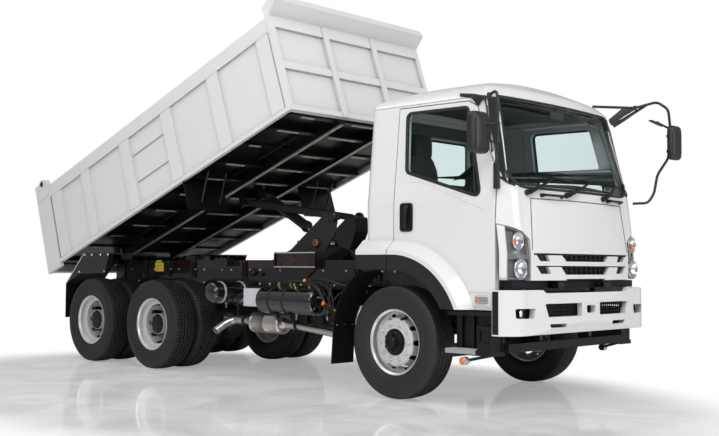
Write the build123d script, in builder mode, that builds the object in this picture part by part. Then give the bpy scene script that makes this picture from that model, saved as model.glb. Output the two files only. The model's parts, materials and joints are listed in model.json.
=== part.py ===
from build123d import *
from math import cos, radians, sin
import os

os.makedirs("parts", exist_ok=True)

# Three-axle tipper truck, cab over engine.  Millimetres; +X is forward, +Y is the truck's left, +Z is up.
# The origin lies on the ground under the middle of the truck's length and width.

# ---------------------------------------------------------------- driving dimensions
front_axle_x = 2476.5
wheelbase = 3760                      # front axle to the first rear axle
bogie_spacing = 1300                  # first rear axle to the second
first_rear_x = front_axle_x - wheelbase
second_rear_x = first_rear_x - bogie_spacing
bogie_x = (first_rear_x + second_rear_x) / 2

tyre_radius = 515
tyre_width = 280
rim_radius = 286                      # bead seat of a 22.5 inch rim
flange_radius = 303
flange_width = 222                    # over both rim flanges
axle_z = tyre_radius
front_tyre_y = 1030
inner_tyre_y = 715
outer_tyre_y = 1045
kingpin_y = 880

rail_outer_y = 430
rail_height = 240
rail_flange = 75
rail_wall = 9
rail_bottom_z = 950
rail_top_z = rail_bottom_z + rail_height
rail_front_x = front_axle_x + 1120
rail_rear_x = front_axle_x - 5640
coupling_z = 1070                     # bolt pattern of the rear coupling plate
coupling_bolt_y = 160
coupling_bolt_z = 100
coupling_hole_radius = 10.5
subframe_height = 72
subframe_top_z = rail_top_z + subframe_height
subframe_front_x = front_axle_x - 760

tilt_angle = 19.3                     # the bed stands raised by this much
tilt_x = front_axle_x - 5532
tilt_z = 1235
bed_lowered_z = 1320                  # underside of the side rails with the bed down
tilt_from_rail_end = 261
bed_length = 4620
bed_tail = 330                        # rear pillars behind the side rails' ends
bed_outer_y = 1170
bed_wall = 45
bed_height = 1070
floor_low_t = 60
floor_top_t = 78

cab_half_width = 1090
cab_rear_x = front_axle_x - 450
cab_wall = 55
door_rear_x = front_axle_x - 56
door_front_x = front_axle_x + 1080
door_bottom_z = 833
door_top_z = 2650
arch_radius = 654
flare_radius = 790
flare_outer_y = 1190
cab_floor_z = 1212
seam = 8                              # gap round the doors
glass_thickness = 6

# the pins that more than one assembly shares, as x and z
arm_pivot = (front_axle_x - 3097, 1087)
cab_pivot = (front_axle_x + 1250, 1045)
pin_radius = 30
pin_clearance = 0.3
kingpin_radius = 20
cab_pin_radius = 20

# ---------------------------------------------------------------- placing frames
ground = Location((0, 0, 0))
tilt_cos = cos(radians(tilt_angle))
tilt_sin = sin(radians(tilt_angle))
bed_x_dir = Vector(tilt_cos, 0, tilt_sin)
bed_z_dir = Vector(-tilt_sin, 0, tilt_cos)
bed_origin = (Vector(tilt_x, 0, tilt_z) - bed_x_dir * tilt_from_rail_end
              - bed_z_dir * (tilt_z - bed_lowered_z))
bed_plane = Plane(origin=bed_origin, x_dir=bed_x_dir, z_dir=bed_z_dir)
tilt_t = tilt_z - bed_lowered_z
bed = bed_plane.location              # s runs forward along the bed, t stands square on its floor


def bed_point(x, z):
    """Where a point of the X and Z plane lies along and above the bed's floor line."""
    local = Vector(x, 0, z) - bed_origin
    return local.dot(bed_x_dir), local.dot(bed_z_dir)


def block(x, y, z, place=ground, mode=Mode.ADD):
    """A box between the low and high limits of each axis of the frame it is placed in."""
    middle = Location(((x[0] + x[1]) / 2, (y[0] + y[1]) / 2, (z[0] + z[1]) / 2))
    with Locations(place * middle):
        Box(abs(x[1] - x[0]), abs(y[1] - y[0]), abs(z[1] - z[0]), mode=mode)


def rod(start, end, radius, mode=Mode.ADD):
    """A round bar from one point to another."""
    start, end = Vector(*start), Vector(*end)
    with BuildSketch(Plane(origin=start, z_dir=end - start)) as section:
        Circle(radius)
    extrude(section.sketch, amount=(end - start).length, mode=mode)


def side_plate(points, y, mode=Mode.ADD, place=None):
    """A plate with its outline in X and Z (or s and t of the bed), between two Y values."""
    if place is None:
        plane = Plane(origin=(0, y[0], 0), x_dir=(1, 0, 0), z_dir=(0, -1, 0))
    else:
        plane = Plane(origin=place.origin + Vector(0, y[0], 0), x_dir=place.x_dir, z_dir=(0, -1, 0))
    with BuildSketch(plane) as outline:
        with BuildLine():
            Polyline(*points, close=True)
        make_face()
    extrude(outline.sketch, amount=y[0] - y[1], mode=mode)


def front_plate(points, x, mode=Mode.ADD):
    """A plate with its outline in Y and Z, between two X values."""
    with BuildSketch(Plane(origin=(x[0], 0, 0), x_dir=(0, 1, 0), z_dir=(1, 0, 0))) as outline:
        with BuildLine():
            Polyline(*points, close=True)
        make_face()
    extrude(outline.sketch, amount=x[1] - x[0], mode=mode)


def finish(piece, name):
    """Labels a finished piece and writes it."""
    piece.part.label = name
    export_step(piece.part, f"parts/{name}.step")


# ---------------------------------------------------------------- wheels
def turned(points, x, y, z):
    """A ring turned about the line through (x, y, z) along Y; points are (radius, offset along Y)."""
    with BuildSketch(Plane(origin=(x, y, z), x_dir=(0, 0, 1), z_dir=(-1, 0, 0))) as section:
        with BuildLine():
            Polyline(*points, close=True)
        make_face()
    revolve(section.sketch, axis=Axis((x, y, z), (0, 1, 0)))


def tyre_profile():
    half = tyre_width / 2
    return [(rim_radius, -0.34 * tyre_width), (flange_radius + 6, -0.405 * tyre_width),
            (0.78 * tyre_radius, -half), (0.9 * tyre_radius, -half + 3),
            (tyre_radius - 18, -0.43 * tyre_width), (tyre_radius, -0.38 * tyre_width),
            (tyre_radius, 0.38 * tyre_width), (tyre_radius - 18, 0.43 * tyre_width),
            (0.9 * tyre_radius, half - 3), (0.78 * tyre_radius, half),
            (flange_radius + 6, 0.405 * tyre_width), (rim_radius, 0.34 * tyre_width)]


def rim_profile():
    """Half section of a wheel's rim, with its drop centre."""
    edge = flange_width / 2
    wall = 9
    drop = rim_radius - 45
    return [(flange_radius, -edge), (rim_radius - 0.3, -edge + 12), (rim_radius - 0.3, -45), (drop, -28),
            (drop, 28), (rim_radius - 0.3, 45), (rim_radius - 0.3, edge - 12), (flange_radius, edge),
            (flange_radius - 10, edge), (rim_radius - wall, edge - 14), (rim_radius - wall, 48),
            (drop - wall, 30), (drop - wall, -30), (rim_radius - wall, -48),
            (rim_radius - wall, -edge + 14), (flange_radius - 10, -edge)]


hub_radius = 140
disc_thickness = 12
disc_flat_radius = 215
hand_hole_radius = 27
hand_hole_circle = 232
hub_bore = 60


def wheel(x, tyre_y, side, disc_offset):
    """One steel disc wheel; side is +1 on the left, disc_offset points outward."""
    turned(rim_profile(), x, side * tyre_y, axle_z)
    well = rim_radius - 50
    toward = side if disc_offset > 0 else -side
    face = abs(disc_offset)
    back = face - disc_thickness
    turned([(well, toward * 8), (well, toward * -8), (disc_flat_radius, toward * back), (hub_bore, toward * back),
            (hub_bore, toward * face), (disc_flat_radius + 4, toward * face)],
           x, side * tyre_y, axle_z)


wheel_table = [
    # name, axle x
    ("second", first_rear_x),
    ("third", second_rear_x),
]
side_table = [("right", -1), ("left", 1)]


def hand_holes(x, y, radius_at):
    with BuildSketch(Plane(origin=(x, y - 150, axle_z), x_dir=(1, 0, 0), z_dir=(0, 1, 0))) as holes:
        with PolarLocations(radius_at, 10):
            Circle(hand_hole_radius)
    extrude(holes.sketch, amount=300, mode=Mode.SUBTRACT)


face_offset = 95                      # the front wheel's disc stands out
for side_name, side in side_table:
    with BuildPart() as front_wheel:
        wheel(front_axle_x, front_tyre_y, side, face_offset)
        hand_holes(front_axle_x, side * (front_tyre_y + 40), hand_hole_circle)
        rod((front_axle_x, side * (front_tyre_y + face_offset - disc_thickness), axle_z),
            (front_axle_x, side * (front_tyre_y + face_offset + 30), axle_z), 95)
        rod((front_axle_x, side * (front_tyre_y + 20), axle_z),
            (front_axle_x, side * (front_tyre_y + face_offset), axle_z), hub_radius)
    finish(front_wheel, f"wheel_front_{side_name}")
    with BuildPart() as front_tyre:
        turned(tyre_profile(), front_axle_x, side * front_tyre_y, axle_z)
    finish(front_tyre, f"tyre_front_{side_name}")
    for name, x in wheel_table:
        with BuildPart() as twin_wheel:
            wheel(x, outer_tyre_y, side, (inner_tyre_y - outer_tyre_y) / 2)
            hand_holes(x, side * (outer_tyre_y + inner_tyre_y) / 2, hand_hole_circle)
            wheel(x, inner_tyre_y, side, (outer_tyre_y - inner_tyre_y) / 2)
            rod((x, side * (inner_tyre_y - 40), axle_z), (x, side * (outer_tyre_y + 30), axle_z), 120)
        finish(twin_wheel, f"wheel_{name}_{side_name}")
        with BuildPart() as twin_tyres:
            turned(tyre_profile(), x, side * outer_tyre_y, axle_z)
            turned(tyre_profile(), x, side * inner_tyre_y, axle_z)
        finish(twin_tyres, f"tyres_{name}_{side_name}")

# ---------------------------------------------------------------- chassis
with BuildPart() as chassis_frame:
    for side in (-1, 1):
        outer = side * rail_outer_y
        inner = side * (rail_outer_y - rail_flange)
        web = side * (rail_outer_y - rail_wall)
        block((rail_rear_x, rail_front_x), sorted((outer, web)), (rail_bottom_z, rail_top_z))
        block((rail_rear_x, rail_front_x), sorted((outer, inner)), (rail_bottom_z, rail_bottom_z + rail_wall))
        block((rail_rear_x, rail_front_x), sorted((outer, inner)), (rail_top_z - rail_wall, rail_top_z))
    for x in (rail_rear_x + 30, second_rear_x - 250, bogie_x, first_rear_x + 350, front_axle_x - 1150,
              front_axle_x - 650, rail_front_x - 60):
        reach = rail_outer_y - rail_wall
        block((x - 30, x + 30), (-reach, reach), (rail_bottom_z + 30, rail_bottom_z + 150))
    block((rail_rear_x, rail_rear_x + 60), (-reach, reach), (rail_bottom_z + 12, rail_top_z - 12))
    for y in (-coupling_bolt_y / 2, coupling_bolt_y / 2):
        for z in (coupling_z - coupling_bolt_z / 2, coupling_z + coupling_bolt_z / 2):
            rod((rail_rear_x - 1, y, z), (rail_rear_x + 61, y, z), coupling_hole_radius, mode=Mode.SUBTRACT)
    for side in (-1, 1):
        y = sorted((side * (rail_outer_y - 50), side * rail_outer_y))
        block((rail_front_x - 80, rail_front_x - 40), y, (475, rail_bottom_z))
        block((rail_front_x - 1, cab_pivot[0] + 25), y, (cab_pivot[1] - 28, cab_pivot[1] + 28))
        rod((cab_pivot[0], side * (rail_outer_y - 10), cab_pivot[1]),
            (cab_pivot[0], side * (rail_outer_y - 95), cab_pivot[1]), cab_pin_radius)
        block((rail_rear_x - 165, rail_rear_x + 40), y, (560, rail_bottom_z))
    block((rail_rear_x - 220, rail_rear_x - 160), (-980, 980), (560, 660))
finish(chassis_frame, "chassis_frame")

with BuildPart() as subframe:
    low_z, high_z = rail_top_z, subframe_top_z
    for side in (-1, 1):
        block((rail_rear_x, subframe_front_x),
              sorted((side * rail_outer_y, side * (rail_outer_y - 65))), (low_z, high_z))
        block((tilt_x - 90, tilt_x + 110),
              sorted((side * rail_outer_y, side * (rail_outer_y + 14))), (rail_bottom_z + 60, tilt_z + 50))
        block((front_axle_x - 2390, front_axle_x - 1700),
              sorted((side * rail_outer_y, side * (rail_outer_y + 60))), (1170, 1350))
    reach = rail_outer_y - 65
    for x in (rail_rear_x + 40, second_rear_x - 180, first_rear_x - 300, first_rear_x + 310,
              subframe_front_x - 40):
        block((x - 35, x + 35), (-reach, reach), (low_z + 5, high_z - 5))
    rod((tilt_x, -rail_outer_y - 70, tilt_z), (tilt_x, rail_outer_y + 70, tilt_z), 32)
    for side in (-1, 1):
        lug_x = (arm_pivot[0] - 50, arm_pivot[0] + 50)
        block(lug_x, sorted((side * (rail_outer_y - 105), side * (rail_outer_y - 76))),
              (arm_pivot[1] - 47, subframe_top_z - 5))
        block(lug_x, sorted((side * (rail_outer_y - 80), side * (rail_outer_y - 64))),
              (rail_top_z + 5, subframe_top_z - 5))
    rod((arm_pivot[0], 95 - rail_outer_y, arm_pivot[1]), (arm_pivot[0], rail_outer_y - 95, arm_pivot[1]),
        pin_radius)
finish(subframe, "subframe")

with BuildPart() as powertrain:
    block((front_axle_x - 560, front_axle_x + 700), (-330, 330), (560, 1185))
    block((front_axle_x - 1150, front_axle_x - 560), (-190, 190), (600, 960))
    block((front_axle_x + 699, front_axle_x + 860), (-240, 240), (700, 1120))
    block((front_axle_x + 860, front_axle_x + 1000), (-345, 345), (640, 1170))
    rod((front_axle_x - 1150, 0, 760), (first_rear_x + 300, 0, 640), 55)
    rod((first_rear_x - 230, 0, 600), (second_rear_x + 300, 0, 600), 50)
finish(powertrain, "powertrain")

with BuildPart() as axles:
    for x in (first_rear_x, second_rear_x):
        block((x - 75, x + 75), (-560, 560), (axle_z - 75, axle_z + 75))
        with Locations((x, 0, axle_z)):
            Sphere(215)
    rod((first_rear_x, 0, 600), (first_rear_x + 290, 0, 640), 80)
    rod((first_rear_x, 0, 600), (first_rear_x - 225, 0, 600), 70)
    rod((second_rear_x, 0, 600), (second_rear_x + 295, 0, 600), 80)
    front_beam_z = 400
    block((front_axle_x - 45, front_axle_x + 45), (-620, 620), (front_beam_z - 60, front_beam_z + 60))
    for side in (-1, 1):
        block((front_axle_x - 45, front_axle_x + 45), sorted((side * 600, side * (kingpin_y - 85))),
              (front_beam_z - 60, axle_z + 55))
        block((front_axle_x - 30, front_axle_x + 30), sorted((side * (kingpin_y - 90), side * (kingpin_y - 10))),
              (axle_z - 45, axle_z + 55))
        rod((front_axle_x, side * kingpin_y, axle_z - 45), (front_axle_x, side * kingpin_y, axle_z + 55), 40)
        rod((front_axle_x, side * kingpin_y, axle_z - 50), (front_axle_x, side * kingpin_y, axle_z + 60),
            kingpin_radius + pin_clearance, mode=Mode.SUBTRACT)
finish(axles, "axles")

spring_y = 390
with BuildPart() as suspension:
    for side in (-1, 1):
        y = sorted((side * (spring_y - 40), side * (spring_y + 40)))
        side_plate([(front_axle_x - 800, 700), (front_axle_x, 540), (front_axle_x + 760, 680),
                    (front_axle_x + 760, 705), (front_axle_x + 60, 620), (front_axle_x - 60, 620),
                    (front_axle_x - 800, 725)], y)
        block((front_axle_x - 60, front_axle_x + 60), y, (front_beam_z + 60, 620))
        block((front_axle_x - 830, front_axle_x - 740), y, (690, rail_bottom_z))
        block((front_axle_x + 700, front_axle_x + 790), y, (670, rail_bottom_z))
        side_plate([(first_rear_x + 90, axle_z + 75), (first_rear_x + 90, axle_z + 110),
                    (bogie_x + 90, axle_z + 260), (bogie_x - 90, axle_z + 260),
                    (second_rear_x - 90, axle_z + 110), (second_rear_x - 90, axle_z + 75),
                    (bogie_x, axle_z + 140)], y)
        side_plate([(bogie_x - 200, rail_bottom_z), (bogie_x + 200, rail_bottom_z),
                    (bogie_x + 90, axle_z - 90), (bogie_x - 90, axle_z - 90)], y)
finish(suspension, "suspension")

# ---------------------------------------------------------------- steering
arm_reach = 230
track_rod_z = axle_z - 135
for side_name, side in side_table:
    with BuildPart() as knuckle:
        for z in ((axle_z - 100, axle_z - 50), (axle_z + 60, axle_z + 105)):
            block((front_axle_x - 40, front_axle_x + 40),
                  sorted((side * (kingpin_y - 45), side * (front_tyre_y - 40))), z)
        turned([(0, side * 52), (200, side * 52), (200, side * 100), (62, side * 100),
                (62, side * 165), (0, side * 165)],
               front_axle_x, kingpin_y * side, axle_z)
        rod((front_axle_x, side * kingpin_y, axle_z - 90), (front_axle_x, side * kingpin_y, axle_z + 95),
            kingpin_radius)
        block((front_axle_x - arm_reach, front_axle_x - 30),
              sorted((side * (kingpin_y - 20), side * (kingpin_y + 20))), (axle_z - 100, axle_z - 60))
    finish(knuckle, f"knuckle_{side_name}")

with BuildPart() as track_rod:
    y = kingpin_y - 40
    rod((front_axle_x - arm_reach + 25, -y, track_rod_z), (front_axle_x - arm_reach + 25, y, track_rod_z), 20)
finish(track_rod, "track_rod")

# ---------------------------------------------------------------- hoist under the bed
arm_tip = (front_axle_x - 1755, 1740)
arm_pin = (front_axle_x - 2013, 1453)
arm_y = 185
plate_thickness = 15
link_root = (front_axle_x - 3373, 1964)
link_y = 95
link_thickness = 25
cylinder_root = (front_axle_x - 3108, 2036)
barrel_radius = 58
barrel_length = 850
barrel_bore_start = 65                # from the root pin
piston_rod_start = 345
piston_rod_radius = 30


def ring(x, z, radius, bore, reach):
    """A boss round a pin that lies along Y."""
    rod((x, -reach, z), (x, reach, z), radius)
    rod((x, -reach - 1, z), (x, reach + 1, z), bore, mode=Mode.SUBTRACT)


with BuildPart() as hoist_arm:
    outline = [(arm_pivot[0] - 55, arm_pivot[1] + 25), (arm_pivot[0] - 25, arm_pivot[1] - 55),
               (front_axle_x - 2400, 1120), (front_axle_x - 1900, 1330), (front_axle_x - 1720, 1560),
               (arm_tip[0] + 75, arm_tip[1] + 35), (arm_tip[0] - 140, arm_tip[1] + 30),
               (front_axle_x - 2433, 1384)]
    for side in (-1, 1):
        inner, outer = side * arm_y, side * (arm_y + plate_thickness)
        side_plate(outline, (max(inner, outer), min(inner, outer)))
        rod((arm_tip[0], side * (link_y + link_thickness + 8), arm_tip[1]),
            (arm_tip[0], side * (arm_y + 55), arm_tip[1]), pin_radius)
        rod((arm_pin[0], side * (piston_rod_radius + 12), arm_pin[1]),
            (arm_pin[0], side * (arm_y + 40), arm_pin[1]), 36)
    block((front_axle_x - 2240, front_axle_x - 2140), (-arm_y, arm_y), (1210, 1240))
    ring(arm_pivot[0], arm_pivot[1], pin_radius + 22, pin_radius + pin_clearance, arm_y + 30)
finish(hoist_arm, "hoist_arm")

with BuildPart() as hoist_link:
    for side in (-1, 1):
        inner, outer = side * link_y, side * (link_y + link_thickness)
        side_plate([(link_root[0] - 30, link_root[1] - 35), (arm_tip[0] - 10, arm_tip[1] - 35),
                    (arm_tip[0] + 40, arm_tip[1]), (arm_tip[0] - 10, arm_tip[1] + 40),
                    (link_root[0] - 30, link_root[1] + 40)], (max(inner, outer), min(inner, outer)))
    ring(link_root[0], link_root[1], 45, pin_radius + pin_clearance, link_y + link_thickness)
finish(hoist_link, "hoist_link")

barrel_root = Vector(cylinder_root[0], 0, cylinder_root[1])
cylinder_run = Vector(arm_pin[0], 0, arm_pin[1]) - barrel_root
cylinder_aim = cylinder_run.normalized()
rod_bore = piston_rod_radius + pin_clearance
with BuildPart() as hoist_cylinder:
    rod(barrel_root, barrel_root + cylinder_aim * barrel_length, barrel_radius)
    ring(cylinder_root[0], cylinder_root[1], 50, pin_radius + pin_clearance, 60)
    rod(barrel_root + cylinder_aim * barrel_bore_start, barrel_root + cylinder_aim * (barrel_length + 1), rod_bore,
        mode=Mode.SUBTRACT)
finish(hoist_cylinder, "hoist_cylinder")

with BuildPart() as hoist_rod:
    rod(barrel_root + cylinder_aim * piston_rod_start, barrel_root + cylinder_run, piston_rod_radius)
    rod(Vector(arm_pin[0], -piston_rod_radius - 5, arm_pin[1]), Vector(arm_pin[0], piston_rod_radius + 5, arm_pin[1]),
        48)
finish(hoist_rod, "hoist_rod")

# ---------------------------------------------------------------- bed
rail_low = (0, 48)
rail_high = (910, 1070)
post_table = [
    # start and end along the side
    (40, 280), (790, 990), (1710, 1920), (2600, 2810), (3510, 3720), (4400, 4600),
]
cross_members = [
    # start along the bed, underside; shallow where a guard or a box comes up close below
    (-60, 20), (440, 42), (870, 42), (1380, -10), (1890, -10), (2400, -10), (2880, -10), (3300, -10), (3700, 42),
    (4200, -10), (4540, -10),
]
splash_s = 2770                       # plates that hang ahead of the rear wheels
tail_pivot_s, tail_pivot_t = -150, 1150
tail_pin_radius = 20
tail_clearance = 8


def bed_to_ground(s, y, t):
    """A point of the bed's own frame in the truck's frame."""
    return bed_origin + bed_x_dir * s + Vector(0, y, 0) + bed_z_dir * t


with BuildPart() as bed_floor:
    inner_y = bed_outer_y - bed_wall
    block((-bed_tail + 70, bed_length - 5), (-inner_y, inner_y), (floor_low_t, floor_top_t), bed)
    for side in (-1, 1):
        block((tilt_from_rail_end + 45, bed_length - 5), sorted((side * 345, side * 420)), (-50, floor_low_t), bed)
        lug = (sorted((side * (rail_outer_y + 20), side * (rail_outer_y + 40))))
        block((tilt_from_rail_end - 60, tilt_from_rail_end + 60), lug, (tilt_t - 60, floor_low_t), bed)
        rod((tilt_x, side * (rail_outer_y + 10), tilt_z), (tilt_x, side * (rail_outer_y + 60), tilt_z), 32.3,
            mode=Mode.SUBTRACT)
        for (x, z), near in ((link_root, link_y + link_thickness + 8), (cylinder_root, 66)):
            lug_s, lug_t = bed_point(x, z)
            block((lug_s - 50, lug_s + 50), sorted((side * near, side * (near + 14))),
                  (lug_t - 50, floor_low_t), bed)
    for x, z in (link_root, cylinder_root):
        reach = link_y + link_thickness + 20 if x == link_root[0] else 78
        rod((x, -reach, z), (x, reach, z), pin_radius)
    for s, low_t in cross_members:
        block((s, s + 60), (20 - inner_y, inner_y - 20), (low_t, floor_low_t), bed)
        block((s, s + 60), (-340, 340), (-20, floor_low_t), bed)
    for side in (-1, 1):
        block((splash_s, splash_s + 6), sorted((side * 600, side * 1165)), (-350, -4), bed)
        block((splash_s, splash_s + 6), sorted((side * 600, side * 1115)), (-5, floor_low_t), bed)
        block((splash_s + 6, splash_s + 30), sorted((side * 600, side * 1165)), (-350, -344), bed)
finish(bed_floor, "bed_floor")

with BuildPart() as bed_side:
    y_out, y_in = -bed_outer_y, -bed_outer_y + bed_wall
    block((0, bed_length), (y_out + 22, y_in), (0, bed_height), bed)
    block((0, bed_length), (y_out, y_in), rail_low, bed)
    block((0, bed_length), (y_out, y_in), rail_high, bed)
    for start, end in post_table:
        block((start, end), (y_out, y_in), (0, bed_height), bed)
    block((-bed_tail, 0), (y_out, y_in), (-50, bed_height), bed)
    side_plate([(-bed_tail, bed_height), (0, bed_height), (-20, 1163), (-100, 1175), (-128, 1206), (-182, 1206),
                (-215, 1172), (-bed_tail, 1165)], (y_in, y_out), place=bed_plane)
    rod(bed_to_ground(tail_pivot_s, y_in + 1, tail_pivot_t), bed_to_ground(tail_pivot_s, y_out - 1, tail_pivot_t),
        tail_pin_radius + pin_clearance, mode=Mode.SUBTRACT)
with BuildPart() as bed_sides:
    add(bed_side.part)
    mirror(bed_side.part, about=Plane.XZ)
finish(bed_sides, "bed_sides")

with BuildPart() as bed_headboard:
    wide = bed_outer_y
    block((bed_length, bed_length + 30), (-wide, wide), (0, 1110), bed)
    for y in (-380, 380):
        block((bed_length + 30, bed_length + 70), (y - 40, y + 40), (0, 1080), bed)
    for t in ((950, 1110), (475, 560), (0, 60)):
        block((bed_length + 30, bed_length + 60), (-wide, wide), t, bed)
    for side in (-1, 1):
        block((bed_length + 30, bed_length + 60), sorted((side * wide, side * (wide - 60))), (0, 1110), bed)
    side_plate([(bed_length, 1080), (bed_length + 60, 1080), (bed_length + 210, 1180),
                (bed_length + 180, 1265), (bed_length - 20, 1200)], (wide, -wide), place=bed_plane)
finish(bed_headboard, "bed_headboard")

tail_ribs = [
    # low y, high y, low t, high t of the bars that stand on the tailgate's outer face
    (-1117, 1117, 955, 1075), (-1117, 1117, -40, 70), (-1117, 1117, 470, 570),
    (-1117, -1020, -40, 1075), (1020, 1117, -40, 1075), (-600, -500, -40, 1075), (500, 600, -40, 1075),
]
with BuildPart() as tailgate:
    wide = bed_outer_y - bed_wall - tail_clearance
    block((-bed_tail + 30, -bed_tail + 60), (-wide, wide), (-40, 1075), bed)
    for low_y, high_y, low_t, high_t in tail_ribs:
        block((-bed_tail, -bed_tail + 31), (low_y, high_y), (low_t, high_t), bed)
    for side in (-1, 1):
        side_plate([(-bed_tail + 55, 900), (-bed_tail + 55, 1075), (tail_pivot_s - 30, tail_pivot_t + 32),
                    (tail_pivot_s + 30, tail_pivot_t + 32), (tail_pivot_s + 30, tail_pivot_t - 32)],
                   sorted((side * 1075, side * 1095), reverse=True), place=bed_plane)
        rod(bed_to_ground(tail_pivot_s, side * 1080, tail_pivot_t),
            bed_to_ground(tail_pivot_s, side * (bed_outer_y - 4), tail_pivot_t), tail_pin_radius)
finish(tailgate, "tailgate")

# ---------------------------------------------------------------- cab
ax = front_axle_x
belt_z = 1850
lip_z = 1324
roof_line_z = 2672
front_bottom_z = 1085
screen_bottom_z = 1895
waist_z = 1780
roof_edge_z = 2826
roof_top_z = 2864
roof_lean = 98                        # how far the sides lean in from the waist to the roof edge
roof_round = 220
rear_round = 110


def nose_plan(nose, half, tail):
    """Plan outline of the cab and of the bumper, rounded at the front corners."""
    Polyline((nose - 175, -half), (tail, -half), (tail, half), (nose - 175, half))
    ThreePointArc((nose - 175, half), (nose - 108, half - 55), (nose - 50, half - 230))
    ThreePointArc((nose - 50, half - 230), (nose, 0), (nose - 50, -half + 230))
    ThreePointArc((nose - 50, -half + 230), (nose - 108, -half + 55), (nose - 175, -half))


def corner_sliver(x, y, side, radius):
    """Plan outline of what rounding takes off one rear corner of the cab."""
    reach = radius * (1 - cos(radians(45)))
    Polyline((x + radius, y), (x + radius, y + side * 30), (x - 30, y + side * 30),
             (x - 30, y - side * radius), (x, y - side * radius))
    ThreePointArc((x, y - side * radius), (x + reach, y - side * reach), (x + radius, y))


def cab_body(inset, low):
    """The cab's outer form moved inward by the inset, cut off level at the low height."""
    half = cab_half_width - inset
    nose = ax + 1232 - inset
    tail = cab_rear_x - 700
    with BuildPart() as body:
        for z, move, length in ((belt_z, (-220, 0, 800), 1100), (belt_z, (65, 0, -526), 530)):
            with BuildSketch(Plane.XY.offset(z)) as plan:
                with BuildLine():
                    nose_plan(nose, half, tail)
                make_face()
            extrude(plan.sketch, amount=length, dir=Vector(*move))
        with BuildSketch(Plane.XY.offset(lip_z)) as plan:
            with BuildLine():
                nose_plan(nose + 65, half, tail)
            make_face()
        extrude(plan.sketch, amount=low - lip_z)
        with BuildSketch(Plane(origin=(cab_rear_x - 900, 0, 0), x_dir=(0, 1, 0), z_dir=(1, 0, 0))) as front:
            with BuildLine():
                FilletPolyline((-half, low), (half, low), (half, waist_z), (half - roof_lean, roof_edge_z - inset),
                               (0, roof_top_z - inset), (roof_lean - half, roof_edge_z - inset),
                               (-half, waist_z),
                               radius=(0, 0, 0, roof_round - inset, 12000, roof_round - inset, 0),
                               close=True)
            make_face()
        extrude(front.sketch, amount=3400, mode=Mode.INTERSECT)
        with BuildSketch(Plane(origin=(0, 1500, 0), x_dir=(1, 0, 0), z_dir=(0, -1, 0))) as profile:
            with BuildLine():
                FilletPolyline((cab_rear_x + inset, low), (ax + 1600, low), (ax + 1600, 2508 - inset),
                               (ax + 730, roof_top_z + 6 - inset), (cab_rear_x + inset, 2796 - inset),
                               radius=(0, 0, 0, 500, rear_round + 14 - inset), close=True)
            make_face()
        extrude(profile.sketch, amount=3000, mode=Mode.INTERSECT)
        for side in (-1, 1):
            lean = Vector(0, -side * roof_lean, roof_edge_z - waist_z)
            for z, way, length in ((low, Vector(0, 0, 1), waist_z - low), (waist_z, lean, 1200)):
                with BuildSketch(Plane.XY.offset(z)) as sliver:
                    with BuildLine():
                        corner_sliver(cab_rear_x + inset, side * half, side, rear_round - inset)
                    make_face()
                extrude(sliver.sketch, amount=length, dir=way, mode=Mode.SUBTRACT)
    return body.part


def side_prism(points, side, near, far, mode):
    """A cut or keep region drawn in X and Z on one side of the cab."""
    side_plate(points, (max(side * near, side * far), min(side * near, side * far)), mode=mode)


cab_inner = cab_body(cab_wall, 700)
with BuildPart() as cab_shell:
    add(cab_body(0, door_bottom_z))
    add(cab_inner, mode=Mode.SUBTRACT)

far_out, far_in = 1300, 850
door_edge = [(door_rear_x, door_bottom_z), (door_rear_x, door_top_z), (ax + 740, door_top_z - 10),
             (ax + 840, 2590), (door_front_x, 1980), (door_front_x, door_bottom_z)]
opening_edge = [(door_rear_x - seam, door_bottom_z - 10), (door_rear_x - seam, door_top_z + seam),
                (ax + 744, door_top_z - 10 + seam), (ax + 848, 2594), (door_front_x + seam, 1982),
                (door_front_x + seam, door_bottom_z - 10)]
door_window = [(ax + 67, 2057), (ax + 35, 2600), (ax + 740, 2590), (ax + 930, 1790)]
screen_edge = [(-985, screen_bottom_z), (985, screen_bottom_z), (880, roof_line_z), (-880, roof_line_z)]
back_window = [(-480, 2030), (480, 2030), (480, 2480), (-480, 2480)]
window_round = 55
lamp_edge = [(812, 1085), (812, 1436), (900, 1500), (1200, 1600), (1200, 1085)]
centre_slots = [
    # low z, half width at the low edge, high z, half width at the high edge
    (1250, 325, 1303, 390),
    (1134, 332, 1203, 400),
    (front_bottom_z - 5, 312, front_bottom_z + 12, 325),
]
outer_slots = [
    # low z, inner and outer y at the low edge, high z, inner and outer y at the high edge
    (1250, 560, 690, 1303, 592, 742),
    (1142, 548, 682, 1203, 580, 735),
]
line_slots = [
    # low z, high z, half width of the dark lines above the two white bars
    (1302, 1318, 775),
    (1202, 1211, 745),
]


def round_prism(points, side, near, far, radius, mode):
    """As side_prism, with every corner of the outline rounded."""
    plane = Plane(origin=(0, max(side * near, side * far), 0), x_dir=(1, 0, 0), z_dir=(0, -1, 0))
    with BuildSketch(plane) as outline:
        with BuildLine():
            FilletPolyline(*points, radius=radius, close=True)
        make_face()
    extrude(outline.sketch, amount=abs(far - near), mode=mode)


def round_front(points, x, radius, mode):
    """As front_plate, with every corner of the outline rounded."""
    with BuildSketch(Plane(origin=(x[0], 0, 0), x_dir=(0, 1, 0), z_dir=(1, 0, 0))) as outline:
        with BuildLine():
            FilletPolyline(*points, radius=radius, close=True)
        make_face()
    extrude(outline.sketch, amount=x[1] - x[0], mode=mode)


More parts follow.
